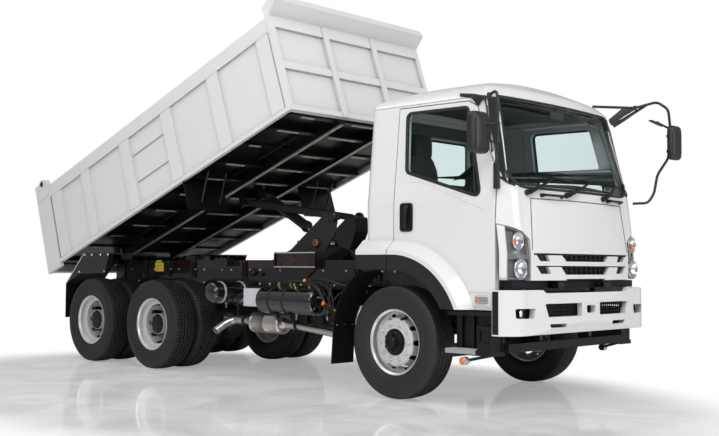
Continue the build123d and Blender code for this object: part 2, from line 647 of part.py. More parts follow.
def grille_slots(x, mode):
    """Every dark slot of the front panel as one set of prisms between two X values."""
    for low, low_half, high, high_half in centre_slots:
        front_plate([(-low_half, low), (low_half, low), (high_half, high), (-high_half, high)], x, mode=mode)
    for low, low_in, low_out, high, high_in, high_out in outer_slots:
        for side in (-1, 1):
            front_plate([(side * low_in, low), (side * low_out, low), (side * high_out, high),
                         (side * high_in, high)], x, mode=mode)
    for low, high, half_width in line_slots:
        block(x, (-half_width, half_width), (low, high), mode=mode)


def clear_arch(radius, flat_z):
    """Cuts away the wheel arch, round ahead of the axle and level behind it."""
    rod((ax, -1400, axle_z), (ax, 1400, axle_z), radius, mode=Mode.SUBTRACT)
    block((cab_rear_x - 100, ax), (-1400, 1400), (600, flat_z), mode=Mode.SUBTRACT)


def white_flare(side):
    """The body-coloured swelling over the wheel arch."""
    with BuildPart() as flare:
        with BuildSketch(Plane(origin=(0, side * 1080, 0), x_dir=(-side, 0, 0),
                               z_dir=(0, side, 0))) as outline:
            with Locations((-side * ax, axle_z)):
                Circle(930)
            with Locations((-side * (cab_rear_x - 400 + ax) / 2, (flare_top_z + 600) / 2)):
                Rectangle(ax - cab_rear_x + 400, flare_top_z - 600)
        extrude(outline.sketch, amount=flare_outer_y - 1080, taper=42)
        clear_arch(flare_radius, axle_z + flare_radius)
        block((cab_rear_x - 900, cab_rear_x), (-1400, 1400), (500, 1600), mode=Mode.SUBTRACT)
        block((cab_rear_x - 900, ax + 1400), (-1400, 1400), (-600, door_bottom_z), mode=Mode.SUBTRACT)
    return flare.part


flare_top_z = 1445
for side_name, side in side_table:
    with BuildPart() as door:
        add(cab_shell.part)
        side_prism(door_edge, side, far_in, far_out, Mode.INTERSECT)
        round_prism(door_window, side, far_in, far_out, window_round, Mode.SUBTRACT)
        clear_arch(flare_radius, axle_z + flare_radius)
    with BuildPart() as door_flare:
        add(white_flare(side))
        block((door_rear_x, door_front_x), (-1300, 1300), (700, 1700), mode=Mode.INTERSECT)
    with BuildPart() as whole_door:
        add(door.part)
        add(door_flare.part)
    finish(whole_door, f"door_{side_name}")
    with BuildPart() as pane:
        add(cab_body(22, 700))
        add(cab_body(22 + glass_thickness, 600), mode=Mode.SUBTRACT)
        round_prism(door_window, side, far_in, far_out, window_round, Mode.INTERSECT)
    finish(pane, f"door_glass_{side_name}")
    with BuildPart() as arch_trim:
        side_prism([(door_rear_x, door_bottom_z), (door_rear_x, axle_z + flare_radius), (ax, axle_z + flare_radius),
                    (ax + 800, axle_z + flare_radius), (ax + 800, door_bottom_z)],
                   side, cab_half_width - cab_wall, flare_outer_y, Mode.ADD)
        rod((ax, -1400, axle_z), (ax, 1400, axle_z), flare_radius, mode=Mode.INTERSECT)
        clear_arch(arch_radius, axle_z + arch_radius)
    finish(arch_trim, f"door_arch_{side_name}")

quarter_flares = []
for side_name, side in side_table:
    with BuildPart() as quarter_flare:
        add(white_flare(side))
        block((cab_rear_x, door_rear_x - seam), (-1300, 1300), (700, 1700), mode=Mode.INTERSECT)
    quarter_flares.append(quarter_flare.part)

with BuildPart() as cab_sides:
    add(cab_shell.part)
    block((cab_rear_x + cab_wall, ax + 1500), (-1300, 1300), (700, roof_line_z), mode=Mode.INTERSECT)
    for side in (-1, 1):
        side_prism(opening_edge, side, far_in, far_out, Mode.SUBTRACT)
        clear_arch(flare_radius, axle_z + flare_radius)
    block((door_front_x, ax + 1500), (-1300, 1300), (700, screen_bottom_z), mode=Mode.SUBTRACT)
    front_plate(screen_edge, (ax + 500, ax + 1500), mode=Mode.SUBTRACT)
    for flare in quarter_flares:
        add(flare)
finish(cab_sides, "cab_sides")

with BuildPart() as cab_arches:
    for side in (-1, 1):
        y = sorted((side * (cab_half_width - cab_wall), side * flare_outer_y))
        block((cab_rear_x, door_rear_x - seam), y, (axle_z + arch_radius, axle_z + flare_radius))
finish(cab_arches, "cab_arches")

with BuildPart() as cab_back:
    add(cab_shell.part)
    block((cab_rear_x - 50, cab_rear_x + cab_wall), (-1300, 1300), (axle_z + flare_radius, roof_line_z),
          mode=Mode.INTERSECT)
    for side in (-1, 1):
        block((cab_rear_x - 50, cab_rear_x + cab_wall), sorted((side * 1079, side * 1300)),
              (1200, 1500), mode=Mode.SUBTRACT)
    round_front(back_window, (cab_rear_x - 50, cab_rear_x + 200), window_round, Mode.SUBTRACT)
finish(cab_back, "cab_back")

with BuildPart() as cab_roof:
    add(cab_shell.part)
    block((cab_rear_x - 50, ax + 1500), (-1300, 1300), (roof_line_z, 3000), mode=Mode.INTERSECT)
finish(cab_roof, "cab_roof")

with BuildPart() as cab_front:
    add(cab_shell.part)
    block((door_front_x + seam, ax + 1500), (-1300, 1300), (front_bottom_z, screen_bottom_z),
          mode=Mode.INTERSECT)
    grille_slots((ax + 900, ax + 1500), Mode.SUBTRACT)
    for side in (-1, 1):
        front_plate([(side * y, z) for y, z in lamp_edge], (ax + 900, ax + 1500), mode=Mode.SUBTRACT)
finish(cab_front, "cab_front")

with BuildPart() as slot_prisms:
    grille_slots((ax + 900, ax + 1500), Mode.ADD)

with BuildPart() as grille:
    add(cab_body(30, front_bottom_z))
    add(cab_body(cab_wall - 5, 700), mode=Mode.SUBTRACT)
    add(slot_prisms.part, mode=Mode.INTERSECT)
    for side in (-1, 1):
        block((ax + 1140, ax + 1190), sorted((side * 460, side * 800)), (front_bottom_z - 70, front_bottom_z + 25))
        block((ax + 1100, ax + 1190), sorted((side * 799, side * 1000)), (front_bottom_z - 70, front_bottom_z - 5))
    block((ax + 1140, ax + 1190), (-310, 310), (front_bottom_z - 70, front_bottom_z - 6))
finish(grille, "grille")

with BuildPart() as headlamps:
    for side in (-1, 1):
        with BuildPart(mode=Mode.PRIVATE) as lamp:
            add(cab_body(0, front_bottom_z))
            add(cab_inner, mode=Mode.SUBTRACT)
            block((door_front_x + seam, ax + 1500), (-1300, 1300), (front_bottom_z, 1700),
                  mode=Mode.INTERSECT)
            front_plate([(side * y, z) for y, z in lamp_edge], (ax + 900, ax + 1500), mode=Mode.INTERSECT)
        add(lamp.part)
finish(headlamps, "headlamps")

with BuildPart() as cab_glass:
    add(cab_body(18, 700))
    add(cab_body(18 + glass_thickness, 600), mode=Mode.SUBTRACT)
    front_plate(screen_edge, (ax + 500, ax + 1500), mode=Mode.INTERSECT)
    round_front(back_window, (cab_rear_x + 18, cab_rear_x + 24), window_round, Mode.ADD)
finish(cab_glass, "cab_glass")

with BuildPart() as cab_floor:
    add(cab_inner)
    block((cab_rear_x, ax + 1500), (-1300, 1300), (cab_floor_z, cab_floor_z + 50), mode=Mode.INTERSECT)
    for side in (-1, 1):
        block((door_rear_x - seam, door_front_x + seam), sorted((side * 1020, side * 1300)),
              (700, 1500), mode=Mode.SUBTRACT)
        eye_y = sorted((side * (rail_outer_y - 85), side * (rail_outer_y - 58)))
        side_plate([(cab_pivot[0] - 130, cab_floor_z + 10), (cab_pivot[0] - 130, cab_pivot[1]),
                    (cab_pivot[0], cab_pivot[1] - 35), (cab_pivot[0] + 35, cab_pivot[1]),
                    (cab_pivot[0], cab_pivot[1] + 35), (cab_pivot[0] - 60, cab_pivot[1] + 35),
                    (cab_pivot[0] - 60, cab_floor_z + 10)], (eye_y[1], eye_y[0]))
        rod((cab_pivot[0], eye_y[0] - 1, cab_pivot[1]), (cab_pivot[0], eye_y[1] + 1, cab_pivot[1]),
            cab_pin_radius + pin_clearance, mode=Mode.SUBTRACT)
finish(cab_floor, "cab_floor")

with BuildPart() as dashboard:
    add(cab_body(cab_wall + 4, 700))
    block((ax + 780, ax + 1500), (-930, 930), (1500, 1800), mode=Mode.INTERSECT)
    rod((ax + 800, -480, 1650), (ax + 560, -480, 1900), 35)
    with Locations(Location((ax + 555, -480, 1905), (0, -44, 0))):
        Torus(215, 16)
        Cylinder(16, 430, rotation=(90, 0, 0))
        Cylinder(60, 30)
finish(dashboard, "dashboard")

with BuildPart() as seats:
    for y in (-480, 480):
        block((ax - 180, ax + 320), (y - 250, y + 250), (1520, 1640))
        block((ax - 320, ax - 200), (y - 250, y + 250), (1520, 2180))
        block((ax - 120, ax + 260), (y - 200, y + 200), (cab_floor_z + 50, 1520))
finish(seats, "seats")

mirror_tubes = [
    # points from the roof bracket down to the front corner, for each side
    [(ax + 640, -975, 2700), (ax + 800, -1000, 2674), (ax + 940, -1022, 2640), (ax + 1065, -1150, 2640),
     (ax + 1137, -1150, 2672), (ax + 1157, -1150, 2337), (ax + 1147, -1150, 2171), (ax + 1107, -1108, 2048),
     (ax + 1107, -1108, 1890)],
    [(ax + 850, 850, 2800), (ax + 1234, 1000, 2764), (ax + 1389, 1150, 2825), (ax + 1450, 1270, 2760),
     (ax + 1455, 1290, 2587), (ax + 1435, 1290, 2282), (ax + 1340, 1240, 2117), (ax + 1325, 1200, 1930),
     (ax + 1285, 1150, 1835), (ax + 1170, 1060, 1830)],
]
mirror_heads = [
    # low and high corner of each housing, and its tube's end beside it
    ((ax + 1015, -1365, 2140), (ax + 1090, -1175, 2485)),
    ((ax + 1475, 1175, 2255), (ax + 1550, 1365, 2590)),
]
with BuildPart() as mirrors:
    for tube, (low, high), side in zip(mirror_tubes, mirror_heads, (-1, 1)):
        for start, end in zip(tube, tube[1:]):
            rod(start, end, 13)
            with Locations(end):
                Sphere(13)
        with BuildSketch(Plane.YZ.offset(low[0])) as head:
            with Locations(((low[1] + high[1]) / 2, (low[2] + high[2]) / 2)):
                RectangleRounded(high[1] - low[1], high[2] - low[2], 60)
        extrude(head.sketch, amount=high[0] - low[0])
        tube_x, tube_y = tube[5][0], tube[5][1]
        rod((tube_x, tube_y, 2330), ((low[0] + high[0]) / 2, (low[1] + high[1]) / 2, 2330), 12)
    rod((ax + 1010, 905, 2625), (ax + 1234, 1000, 2764), 16)
    side_plate([(ax + 1092, 1850), (ax + 1135, 1850), (ax + 1125, 2070), (ax + 1092, 2070)], (-1060, -1130))
    rod((ax + 1455, 1270, 2560), (ax + 1405, 1190, 2590), 12)
    with BuildSketch(Plane(origin=(ax + 1380, 1130, 2610), z_dir=(0.45, 0.1, 0.88))) as dish:
        Ellipse(120, 75)
    extrude(dish.sketch, amount=22)
    add(cab_body(0, door_bottom_z), mode=Mode.SUBTRACT)
finish(mirrors, "mirrors")

# ---------------------------------------------------------------- bumper, steps and guards
bumper_front_x = ax + 1340
bumper_rear_x = ax + 1090
bumper_half = 1145
bumper_low_z = 625
bumper_high_z = 1006
bumper_notch_z = 978
bumper_wall = 50
bumper_holes = [
    # outline as y and z on the left, corner radius
    ([(148, 774), (640, 774), (688, 887), (148, 887)], 10),         # air openings
    ([(830, 766), (1045, 772), (1050, 852), (815, 852)], 14),       # fog lamps
    ([(385, 682), (608, 682), (628, 714), (385, 714)], 6),          # tow-eye slots
]
with BuildPart() as front_bumper:
    with BuildSketch(Plane.XY.offset(bumper_low_z)) as plan:
        with BuildLine():
            nose_plan(bumper_front_x, bumper_half, bumper_rear_x)
        make_face()
    extrude(plan.sketch, amount=bumper_high_z - bumper_low_z)
    with BuildSketch(Plane(origin=(0, bumper_half + 100, 0), x_dir=(1, 0, 0), z_dir=(0, -1, 0))) as profile:
        with BuildLine():
            FilletPolyline((bumper_rear_x, bumper_low_z), (bumper_front_x - 45, bumper_low_z),
                           (bumper_front_x, bumper_low_z + 95), (bumper_front_x, bumper_high_z - 110),
                           (bumper_front_x - 26, bumper_high_z), (bumper_rear_x, bumper_high_z),
                           radius=(0, 12, 60, 90, 14, 0), close=True)
        make_face()
    extrude(profile.sketch, amount=2 * bumper_half + 200, mode=Mode.INTERSECT)
    with BuildSketch(Plane.XY.offset(bumper_low_z - 10)) as hollow:
        with BuildLine():
            nose_plan(bumper_front_x - bumper_wall, bumper_half - bumper_wall, bumper_rear_x - 100)
        make_face()
    extrude(hollow.sketch, amount=500, mode=Mode.SUBTRACT)
    cut_x = (bumper_rear_x + 20, bumper_front_x + 60)
    front_plate([(-735, bumper_high_z + 9), (-670, bumper_notch_z), (670, bumper_notch_z),
                 (735, bumper_high_z + 9)], cut_x, mode=Mode.SUBTRACT)
    for side in (-1, 1):
        for outline, radius in bumper_holes:
            round_front([(side * y, z) for y, z in outline], cut_x, radius, Mode.SUBTRACT)
    round_front([(-70, 796), (70, 796), (74, 864), (-74, 864)], cut_x, 18, Mode.SUBTRACT)
    block((bumper_rear_x, bumper_front_x - bumper_wall + 5), (-rail_outer_y, rail_outer_y), (705, 760))
finish(front_bumper, "front_bumper")

step_rear_x = ax + 605
step_front_x = ax + 1090
tread_front_x = ax + 930
with BuildPart() as steps:
    for side in (-1, 1):
        block((step_rear_x, step_front_x), sorted((side * 860, side * 1130)), (785, 820))
        block((step_rear_x, step_front_x), sorted((side * 960, side * 1000)), (490, 785))
        for x in (step_rear_x + 60, step_rear_x + 190):
            block((x, x + 22), sorted((side * 1000, side * 1030)), (490, 785))
        block((step_rear_x, step_front_x), sorted((side * 960, side * 1150)), (452, 490))
        block((tread_front_x, step_front_x - 8), sorted((side * 1000, side * 1140)), (490, 700))
        block((tread_front_x + 22, step_front_x - 30), sorted((side * 1128, side * 1145)), (560, 670),
              mode=Mode.SUBTRACT)
        block((tread_front_x - 30, tread_front_x + 30), sorted((side * rail_outer_y, side * 960)), (640, 720))
        rod((step_front_x - 20, side * 960, 470), (ax + 790, side * 1110, 400), 13)
        rod((ax + 790, side * 1090, 400), (ax + 790, side * 1150, 400), 30)
    block((step_front_x - 10, step_front_x + 40), (-960, 960), (475, 550))
finish(steps, "cab_steps")

with BuildPart() as treads:
    for side in (-1, 1):
        block((step_rear_x, tread_front_x), sorted((side * 1032, side * 1162)), (490, 500))
        block((step_rear_x, tread_front_x), sorted((side * 1150, side * 1162)), (462, 490))
finish(treads, "step_treads")

guard_radius = 740
with BuildPart() as mudguards:
    for side in (-1, 1):
        y = (max(side * 900, side * 1190), min(side * 900, side * 1190))
        with BuildPart(mode=Mode.PRIVATE) as front_guard:
            rod((ax, y[1], axle_z), (ax, y[0], axle_z), guard_radius + 14)
            rod((ax, y[1] - 1, axle_z), (ax, y[0] + 1, axle_z), guard_radius, mode=Mode.SUBTRACT)
            block((ax - 900, ax - 380), (-1200, 1200), (650, 1150), mode=Mode.INTERSECT)
        add(front_guard.part)
        side_plate([(ax - 722, 700), (ax - 736, 700), (ax - 765, 270), (ax - 750, 270)], y)
        block((ax - 780, ax - 740), sorted((side * rail_outer_y, side * 905)), (960, 1000))
finish(mudguards, "mudguards_front")

with BuildPart() as rear_guards:
    for side in (-1, 1):
        y = (max(side * 570, side * 1100), min(side * 570, side * 1100))
        side_plate([(ax - 5350, 1345), (ax - 4770, 1345), (ax - 4770, 1330), (ax - 5340, 1330),
                    (ax - 5768, 950), (ax - 5768, 515), (ax - 5780, 515), (ax - 5780, 957)], y)
        skirt = (max(side * 1088, side * 1100), min(side * 1088, side * 1100))
        side_plate([(ax - 5350, 1345), (ax - 4770, 1345), (ax - 4860, 1095), (ax - 5450, 1080),
                    (ax - 5768, 957)], skirt)
        block((ax - 5330, ax - 5270), sorted((side * rail_outer_y, side * 600)), (1270, 1330))
finish(rear_guards, "mudguards_rear")

# ---------------------------------------------------------------- tanks, boxes and exhaust
with BuildPart() as air_tanks:
    rod((ax - 2840, -1000, 900), (ax - 2840, -520, 900), 118)
    rod((ax - 2840, -1030, 900), (ax - 2840, -999, 900), 100)
    rod((ax - 2080, -870, 835), (ax - 1300, -870, 835), 139)
    rod((ax - 1301, -870, 835), (ax - 1270, -870, 835), 120)
    block((ax - 2865, ax - 2815), (-530, -rail_outer_y), (900, 960))
    for x in (ax - 1910, ax - 1690, ax - 1480):
        block((x - 25, x + 25), (-870, -rail_outer_y), (900, 960))
finish(air_tanks, "air_tanks")

with BuildPart() as side_box:
    block((ax - 2420, ax - 2115), (-900, -780), (760, 952))
    fillet(side_box.edges().filter_by(Axis.Y), 12)
    block((ax - 2300, ax - 2240), (-790, -rail_outer_y), (900, 945))
finish(side_box, "side_box")

duct_outline = [(ax - 1065, 1575), (ax - 800, 1700), (ax - 790, 1540), (ax - 870, 1360), (ax - 1020, 1395),
                (ax - 1060, 1490)]
with BuildPart() as air_intake:
    with BuildSketch(Plane(origin=(0, -660, 0), x_dir=(1, 0, 0), z_dir=(0, -1, 0))) as duct:
        with BuildLine():
            FilletPolyline(*duct_outline, radius=25, close=True)
        make_face()
    extrude(duct.sketch, amount=180)
    rod((ax - 940, -750, 1420), (ax - 940, -600, 1260), 60)
    block((ax - 965, ax - 915), (-640, -rail_outer_y), (1200, 1260))
    block((ax - 965, ax - 915), (-rail_outer_y - 20, -rail_outer_y), (1080, 1260))
finish(air_intake, "air_intake")

with BuildPart() as exhaust:
    rod((ax - 2560, -700, 570), (ax - 2090, -700, 570), 115)
    rod((ax - 2090, -700, 570), (ax - 1280, -700, 520), 45)
    rod((ax - 1280, -700, 520), (ax - 1000, -450, 560), 45)
    rod((ax - 2560, -700, 570), (ax - 2950, -760, 600), 45)
    rod((ax - 2950, -760, 600), (ax - 3150, -900, 470), 45)
    block((ax - 2350, ax - 2300), (-700, -rail_outer_y), (650, 960))
finish(exhaust, "exhaust")

with BuildPart() as fuel_tank:
    block((ax - 2600, ax - 1400), (480, 1060), (440, 940))
    fillet(fuel_tank.edges().filter_by(Axis.X), 90)
    for x in (ax - 2400, ax - 1600):
        block((x - 30, x + 30), (rail_outer_y, 500), (600, 1000))
finish(fuel_tank, "fuel_tank")

with BuildPart() as battery_box:
    block((ax - 1330, ax - 860), (rail_outer_y + 10, 1060), (500, 900))
    block((ax - 1120, ax - 1060), (rail_outer_y, 500), (900, 1000))
finish(battery_box, "battery_box")
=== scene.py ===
# %% [markdown]
# A three-axle tipper truck with its bed half raised, standing on a pale polished floor.
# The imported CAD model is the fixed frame: every length is in metres, X forward, Y to the
# truck's left, Z up.

# %% Load the frame
import bmesh
import bpy
import json
from math import acos, cos, pi, radians, sin
from mathutils import Matrix, Vector

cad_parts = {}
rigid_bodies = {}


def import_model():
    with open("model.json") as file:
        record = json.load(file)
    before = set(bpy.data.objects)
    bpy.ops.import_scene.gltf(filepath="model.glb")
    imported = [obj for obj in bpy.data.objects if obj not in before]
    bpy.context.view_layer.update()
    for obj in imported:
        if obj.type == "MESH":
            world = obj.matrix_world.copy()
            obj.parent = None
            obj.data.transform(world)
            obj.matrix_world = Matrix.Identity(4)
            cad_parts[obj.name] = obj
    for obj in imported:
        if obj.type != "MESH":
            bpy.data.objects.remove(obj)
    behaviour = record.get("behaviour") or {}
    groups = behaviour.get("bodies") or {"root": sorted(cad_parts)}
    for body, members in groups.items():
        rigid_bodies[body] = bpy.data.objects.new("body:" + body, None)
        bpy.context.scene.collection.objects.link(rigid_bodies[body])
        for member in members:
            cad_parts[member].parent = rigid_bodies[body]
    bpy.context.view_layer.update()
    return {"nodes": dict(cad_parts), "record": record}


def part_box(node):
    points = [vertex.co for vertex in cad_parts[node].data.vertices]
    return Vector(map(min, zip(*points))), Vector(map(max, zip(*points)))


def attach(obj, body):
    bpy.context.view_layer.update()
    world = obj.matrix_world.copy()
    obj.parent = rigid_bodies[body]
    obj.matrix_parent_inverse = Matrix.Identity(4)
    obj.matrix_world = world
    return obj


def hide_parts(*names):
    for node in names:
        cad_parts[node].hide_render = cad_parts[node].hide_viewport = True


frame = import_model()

nodes = frame["nodes"]
axle_x, axle_z = 2.4765, 0.515                      # centre of the front axle
second_x, third_x = axle_x - 3.76, axle_x - 5.06    # the two driven axles
tilt = radians(19.3)                                # how far the bed is raised
both_sides = (("right", -1), ("left", 1))

# %% [markdown]
# The camera stands to the truck's front right, a little above the axles, and looks slightly up.
# Its place came from the wheels' ellipses and the sizes of tyres and cab.

# %% Camera
scene = bpy.context.scene
yaw, pitch, roll = radians(43.93), radians(-2.71), radians(0.347)
eye = (axle_x + 6.197, -8.037, 1.197)
focal_pixels, frame_pixels, sensor = 1021.2, 719, 36
ahead = Vector((-sin(yaw) * cos(pitch), cos(yaw) * cos(pitch), -sin(pitch)))
right = Vector((cos(yaw), sin(yaw), 0))
above = right.cross(ahead)
right, above = right * cos(roll) + above * sin(roll), above * cos(roll) - right * sin(roll)
camera = bpy.data.objects.new("camera", bpy.data.cameras.new("camera"))
camera.data.sensor_width = sensor
camera.data.lens = focal_pixels * sensor / frame_pixels
camera.data.clip_end = 200
turned = Matrix((right, above, -ahead)).transposed().to_4x4()
camera.matrix_world = Matrix.Translation(eye) @ turned
scene.collection.objects.link(camera)
scene.camera = camera
scene.view_settings.view_transform = "Standard"
print("camera at", eye, "lens", camera.data.lens)

# %% [markdown]
# The studio is a white sweep.  The world is white to the camera and a little dimmer to
# everything else, so white paint keeps its shading.  Two small helpers add shader nodes and
# link them; every material below is built with them.

# %% Studio world
def node(tree, kind, sockets=None, **options):
    """Adds a shader node, sets its options and then the values of its sockets."""
    made = tree.nodes.new("ShaderNode" + kind)
    for option, value in options.items():
        setattr(made, option, value)
    for socket, value in (sockets or {}).items():
        made.inputs[socket].default_value = value
    return made


def join(tree, *runs):
    """Links nodes; a run names the source, its output, the target and its input."""
    for source, output, target, socket in runs:
        tree.links.new(source.outputs[output], target.inputs[socket])


world = bpy.data.worlds.new("studio")
scene.world = world
world.use_nodes = True
sky = world.node_tree
sky.nodes.clear()
direct = node(sky, "Background", {"Color": (1, 1, 1, 1), "Strength": 1.0})
around = node(sky, "Background", {"Strength": 0.40})
coords, parts, ramp = node(sky, "TexCoord"), node(sky, "SeparateXYZ"), node(sky, "ValToRGB")
low_stop, high_stop = ramp.color_ramp.elements
low_stop.position, low_stop.color = 0.0, (0.62, 0.62, 0.64, 1)
high_stop.position, high_stop.color = 0.75, (1, 1, 1, 1)
seen, pick, out = node(sky, "LightPath"), node(sky, "MixShader"), node(sky, "OutputWorld")
join(sky, (coords, "Generated", parts, 0), (parts, "Z", ramp, 0), (ramp, "Color", around, "Color"),
     (seen, "Is Camera Ray", pick, 0), (around, 0, pick, 1), (direct, 0, pick, 2), (pick, 0, out, 0))

# %% [markdown]
# A large soft key stands high on the camera's side, a broad panel lights the bed's long side,
# one in front fills the cab's face, and a long one overhead lifts the roof and the bed's rim.

# %% Studio lights
def panel_light(name, place, aim, size, power):
    """A rectangular soft light that faces a point."""
    lamp = bpy.data.lights.new(name, "AREA")
    lamp.shape = "RECTANGLE"
    lamp.size, lamp.size_y = size
    lamp.energy = power
    holder = bpy.data.objects.new(name, lamp)
    holder.location = place
    holder.rotation_euler = (Vector(aim) - Vector(place)).to_track_quat("-Z", "Y").to_euler()
    scene.collection.objects.link(holder)


# name, place, aim, size, power
for panel in (("key", (9, -6, 9), (0.5, 0, 1.5), (7, 5), 560),
              ("side_fill", (3.5, -10, 4.5), (-1.5, 0, 1.8), (6, 4), 185),
              ("front_fill", (13, 3, 4), (2.5, 0, 1.5), (5, 5), 250),
              ("overhead", (-1.5, -4.5, 8.5), (-1.0, -0.6, 1.5), (8, 3), 135)):
    panel_light(*panel)
print("world and", len(bpy.data.lights), "lights")

# %% [markdown]
# Paint, rubber, steel and plastic all vary a little from place to place.  One shared group
# gives that variation and a fine surface relief; each material sets its own grain and depth.

# %% Surface grain
FLOAT, COLOUR, VECTOR = "NodeSocketFloat", "NodeSocketColor", "NodeSocketVector"


def shared_group(name, inputs, outputs):
    """A node group with named sockets, and its input and output nodes."""
    group = bpy.data.node_groups.new(name, "ShaderNodeTree")
    for title, kind, value in inputs:
        socket = group.interface.new_socket(title, in_out="INPUT", socket_type=kind)
        if value is not None:
            socket.default_value = value
    for title, kind in outputs:
        group.interface.new_socket(title, in_out="OUTPUT", socket_type=kind)
    return group, group.nodes.new("NodeGroupInput"), group.nodes.new("NodeGroupOutput")


def scaled(tree):
    """A node that multiplies a colour by a number."""
    return node(tree, "VectorMath", operation="SCALE")


grain_group, g_in, g_out = shared_group(
    "surface_grain",
    [("Colour", COLOUR, None), ("Grain", FLOAT, 60.0), ("Vary", FLOAT, 0.05), ("Rough", FLOAT, 0.4),
     ("Depth", FLOAT, 0.0003), ("Normal", VECTOR, None)],
    [("Colour", COLOUR), ("Rough", FLOAT), ("Normal", VECTOR)])
place = node(grain_group, "TexCoord")
fine = node(grain_group, "TexNoise", {"Detail": 6})
broad = node(grain_group, "TexNoise", {"Scale": 1.7, "Detail": 3})
both = node(grain_group, "Math", operation="ADD")
half = node(grain_group, "Math", {1: 1.0}, operation="SUBTRACT")
darker = node(grain_group, "Math", {2: 1.0}, operation="MULTIPLY_ADD")
rough = node(grain_group, "Math", {1: 0.12}, operation="MULTIPLY_ADD")
bump = node(grain_group, "Bump", {"Strength": 1.0})
tint = scaled(grain_group)
join(grain_group,
     (place, "Object", fine, "Vector"), (place, "Object", broad, "Vector"), (g_in, "Grain", fine, "Scale"),
     (fine, "Fac", both, 0), (broad, "Fac", both, 1), (both, 0, half, 0),
     (half, 0, darker, 0), (g_in, "Vary", darker, 1), (g_in, "Colour", tint, 0), (darker, 0, tint, "Scale"),
     (half, 0, rough, 0), (g_in, "Rough", rough, 2), (fine, "Fac", bump, "Height"),
     (g_in, "Depth", bump, "Distance"), (g_in, "Normal", bump, "Normal"),
     (tint, 0, g_out, "Colour"), (rough, 0, g_out, "Rough"), (bump, 0, g_out, "Normal"))

# %% [markdown]
# Corners between posts, panels and spokes look a little darker than open faces.  A second group
# gives that shade from how much open air a point sees, so the relief reads in soft light.

# %% Shade in hollows
hollow_group, h_in, h_out = shared_group(
    "hollow_shade", [("Colour", COLOUR, None), ("Reach", FLOAT, 0.1), ("Deep", FLOAT, 0.5)],
    [("Colour", COLOUR)])
open_air = node(hollow_group, "AmbientOcclusion", samples=8)
less = node(hollow_group, "Math", {0: 1.0}, operation="SUBTRACT")
part_of = node(hollow_group, "Math", operation="MULTIPLY")
stay = node(hollow_group, "Math", {0: 1.0}, operation="SUBTRACT")
shaded = scaled(hollow_group)
join(hollow_group,
     (h_in, "Reach", open_air, "Distance"), (open_air, "AO", less, 1), (less, 0, part_of, 0),
     (h_in, "Deep", part_of, 1), (part_of, 0, stay, 1), (h_in, "Colour", shaded, 0),
     (stay, 0, shaded, "Scale"), (shaded, 0, h_out, "Colour"))

# %% [markdown]
# One function makes every solid finish.  Edges of panels are softened by a bevelled normal, and
# clear coat, metal and sheen are set straight on the shader.

# %% Solid finishes
def plain_material(name):
    """A new material with its tree and its main shader."""
    made = bpy.data.materials.new(name)
    made.use_nodes = True
    return made, made.node_tree, made.node_tree.nodes["Principled BSDF"]


def skin_of(tree, colour, rough, grain, vary, depth):
    """The shared grain with a material's own values."""
    return node(tree, "Group", {"Colour": (*colour, 1), "Grain": grain, "Vary": vary, "Rough": rough,
                                "Depth": depth}, node_tree=grain_group)


def surface(name, colour, rough=0.4, metal=0.0, coat=0.0, grain=60.0, vary=0.05, depth=0.0002, edge=0.0,
            sheen=0.0, shine=0.5, hollow=0.0, deep=0.5):
    """A material with its own colour, shine, grain and, on panels, softly rounded edges."""
    made, tree, shader = plain_material(name)
    skin = skin_of(tree, colour, rough, grain, vary, depth)
    soft = node(tree, "Bevel", {"Radius": edge}, samples=4) if edge else node(tree, "NewGeometry")
    join(tree, (soft, "Normal", skin, "Normal"), (skin, "Colour", shader, "Base Color"),
         (skin, "Rough", shader, "Roughness"), (skin, "Normal", shader, "Normal"))
    if hollow:
        shade = node(tree, "Group", node_tree=hollow_group)
        shade.inputs["Reach"].default_value = hollow
        shade.inputs["Deep"].default_value = deep
        join(tree, (skin, "Colour", shade, "Colour"), (shade, "Colour", shader, "Base Color"))
    for socket, value in (("Metallic", metal), ("Specular IOR Level", shine), ("Coat Weight", coat),
                          ("Coat Roughness", 0.05), ("Sheen Weight", sheen)):
        shader.inputs[socket].default_value = value
    return made


cab_white = surface("cab_white", (0.84, 0.84, 0.84), 0.35, coat=0.7, grain=900, vary=0.015, depth=0.00002,
                    edge=0.006, hollow=0.08, deep=0.5)
bed_white = surface("bed_white", (0.84, 0.84, 0.83), 0.42, coat=0.25, grain=300, vary=0.03, depth=0.00006,
                    edge=0.005, hollow=0.13, deep=0.75)
frame_black = surface("frame_black", (0.007, 0.0065, 0.006), 0.3, coat=0.7, grain=220, vary=0.2,
                      depth=0.00008, edge=0.003, shine=0.35)
bed_under = surface("bed_under", (0.005, 0.005, 0.005), 0.34, coat=0.15, grain=180, vary=0.25, edge=0.003,
                    shine=0.3)
hoist_grey = surface("hoist_grey", (0.014, 0.0145, 0.015), 0.34, coat=0.3, grain=240, vary=0.15,
                     depth=0.0001, edge=0.003)
piston = surface("piston", (0.78, 0.78, 0.8), 0.12, metal=1.0, grain=500, vary=0.04, depth=0.00001)
wheel_steel = surface("wheel_steel", (0.74, 0.75, 0.76), 0.30, metal=0.45, coat=0.5, grain=260,
                      depth=0.00005, edge=0.003, hollow=0.10, deep=0.7)
rubber = surface("rubber", (0.014, 0.014, 0.015), 0.6, grain=420, vary=0.25, depth=0.0003, shine=0.4)
arch_grey = surface("arch_grey", (0.018, 0.0185, 0.020), 0.5, grain=1400, vary=0.12, depth=0.00012,
                    edge=0.006, shine=0.28)
trim_black = surface("trim_black", (0.007, 0.007, 0.0075), grain=900, vary=0.15, depth=0.0001, edge=0.003,
                     shine=0.35)
seat_cloth = surface("seat_cloth", (0.05, 0.05, 0.055), 0.85, grain=1800, vary=0.35, depth=0.0004, sheen=0.4)
casting = surface("casting", (0.010, 0.010, 0.0105), 0.42, grain=120, vary=0.25, depth=0.0006, edge=0.004)
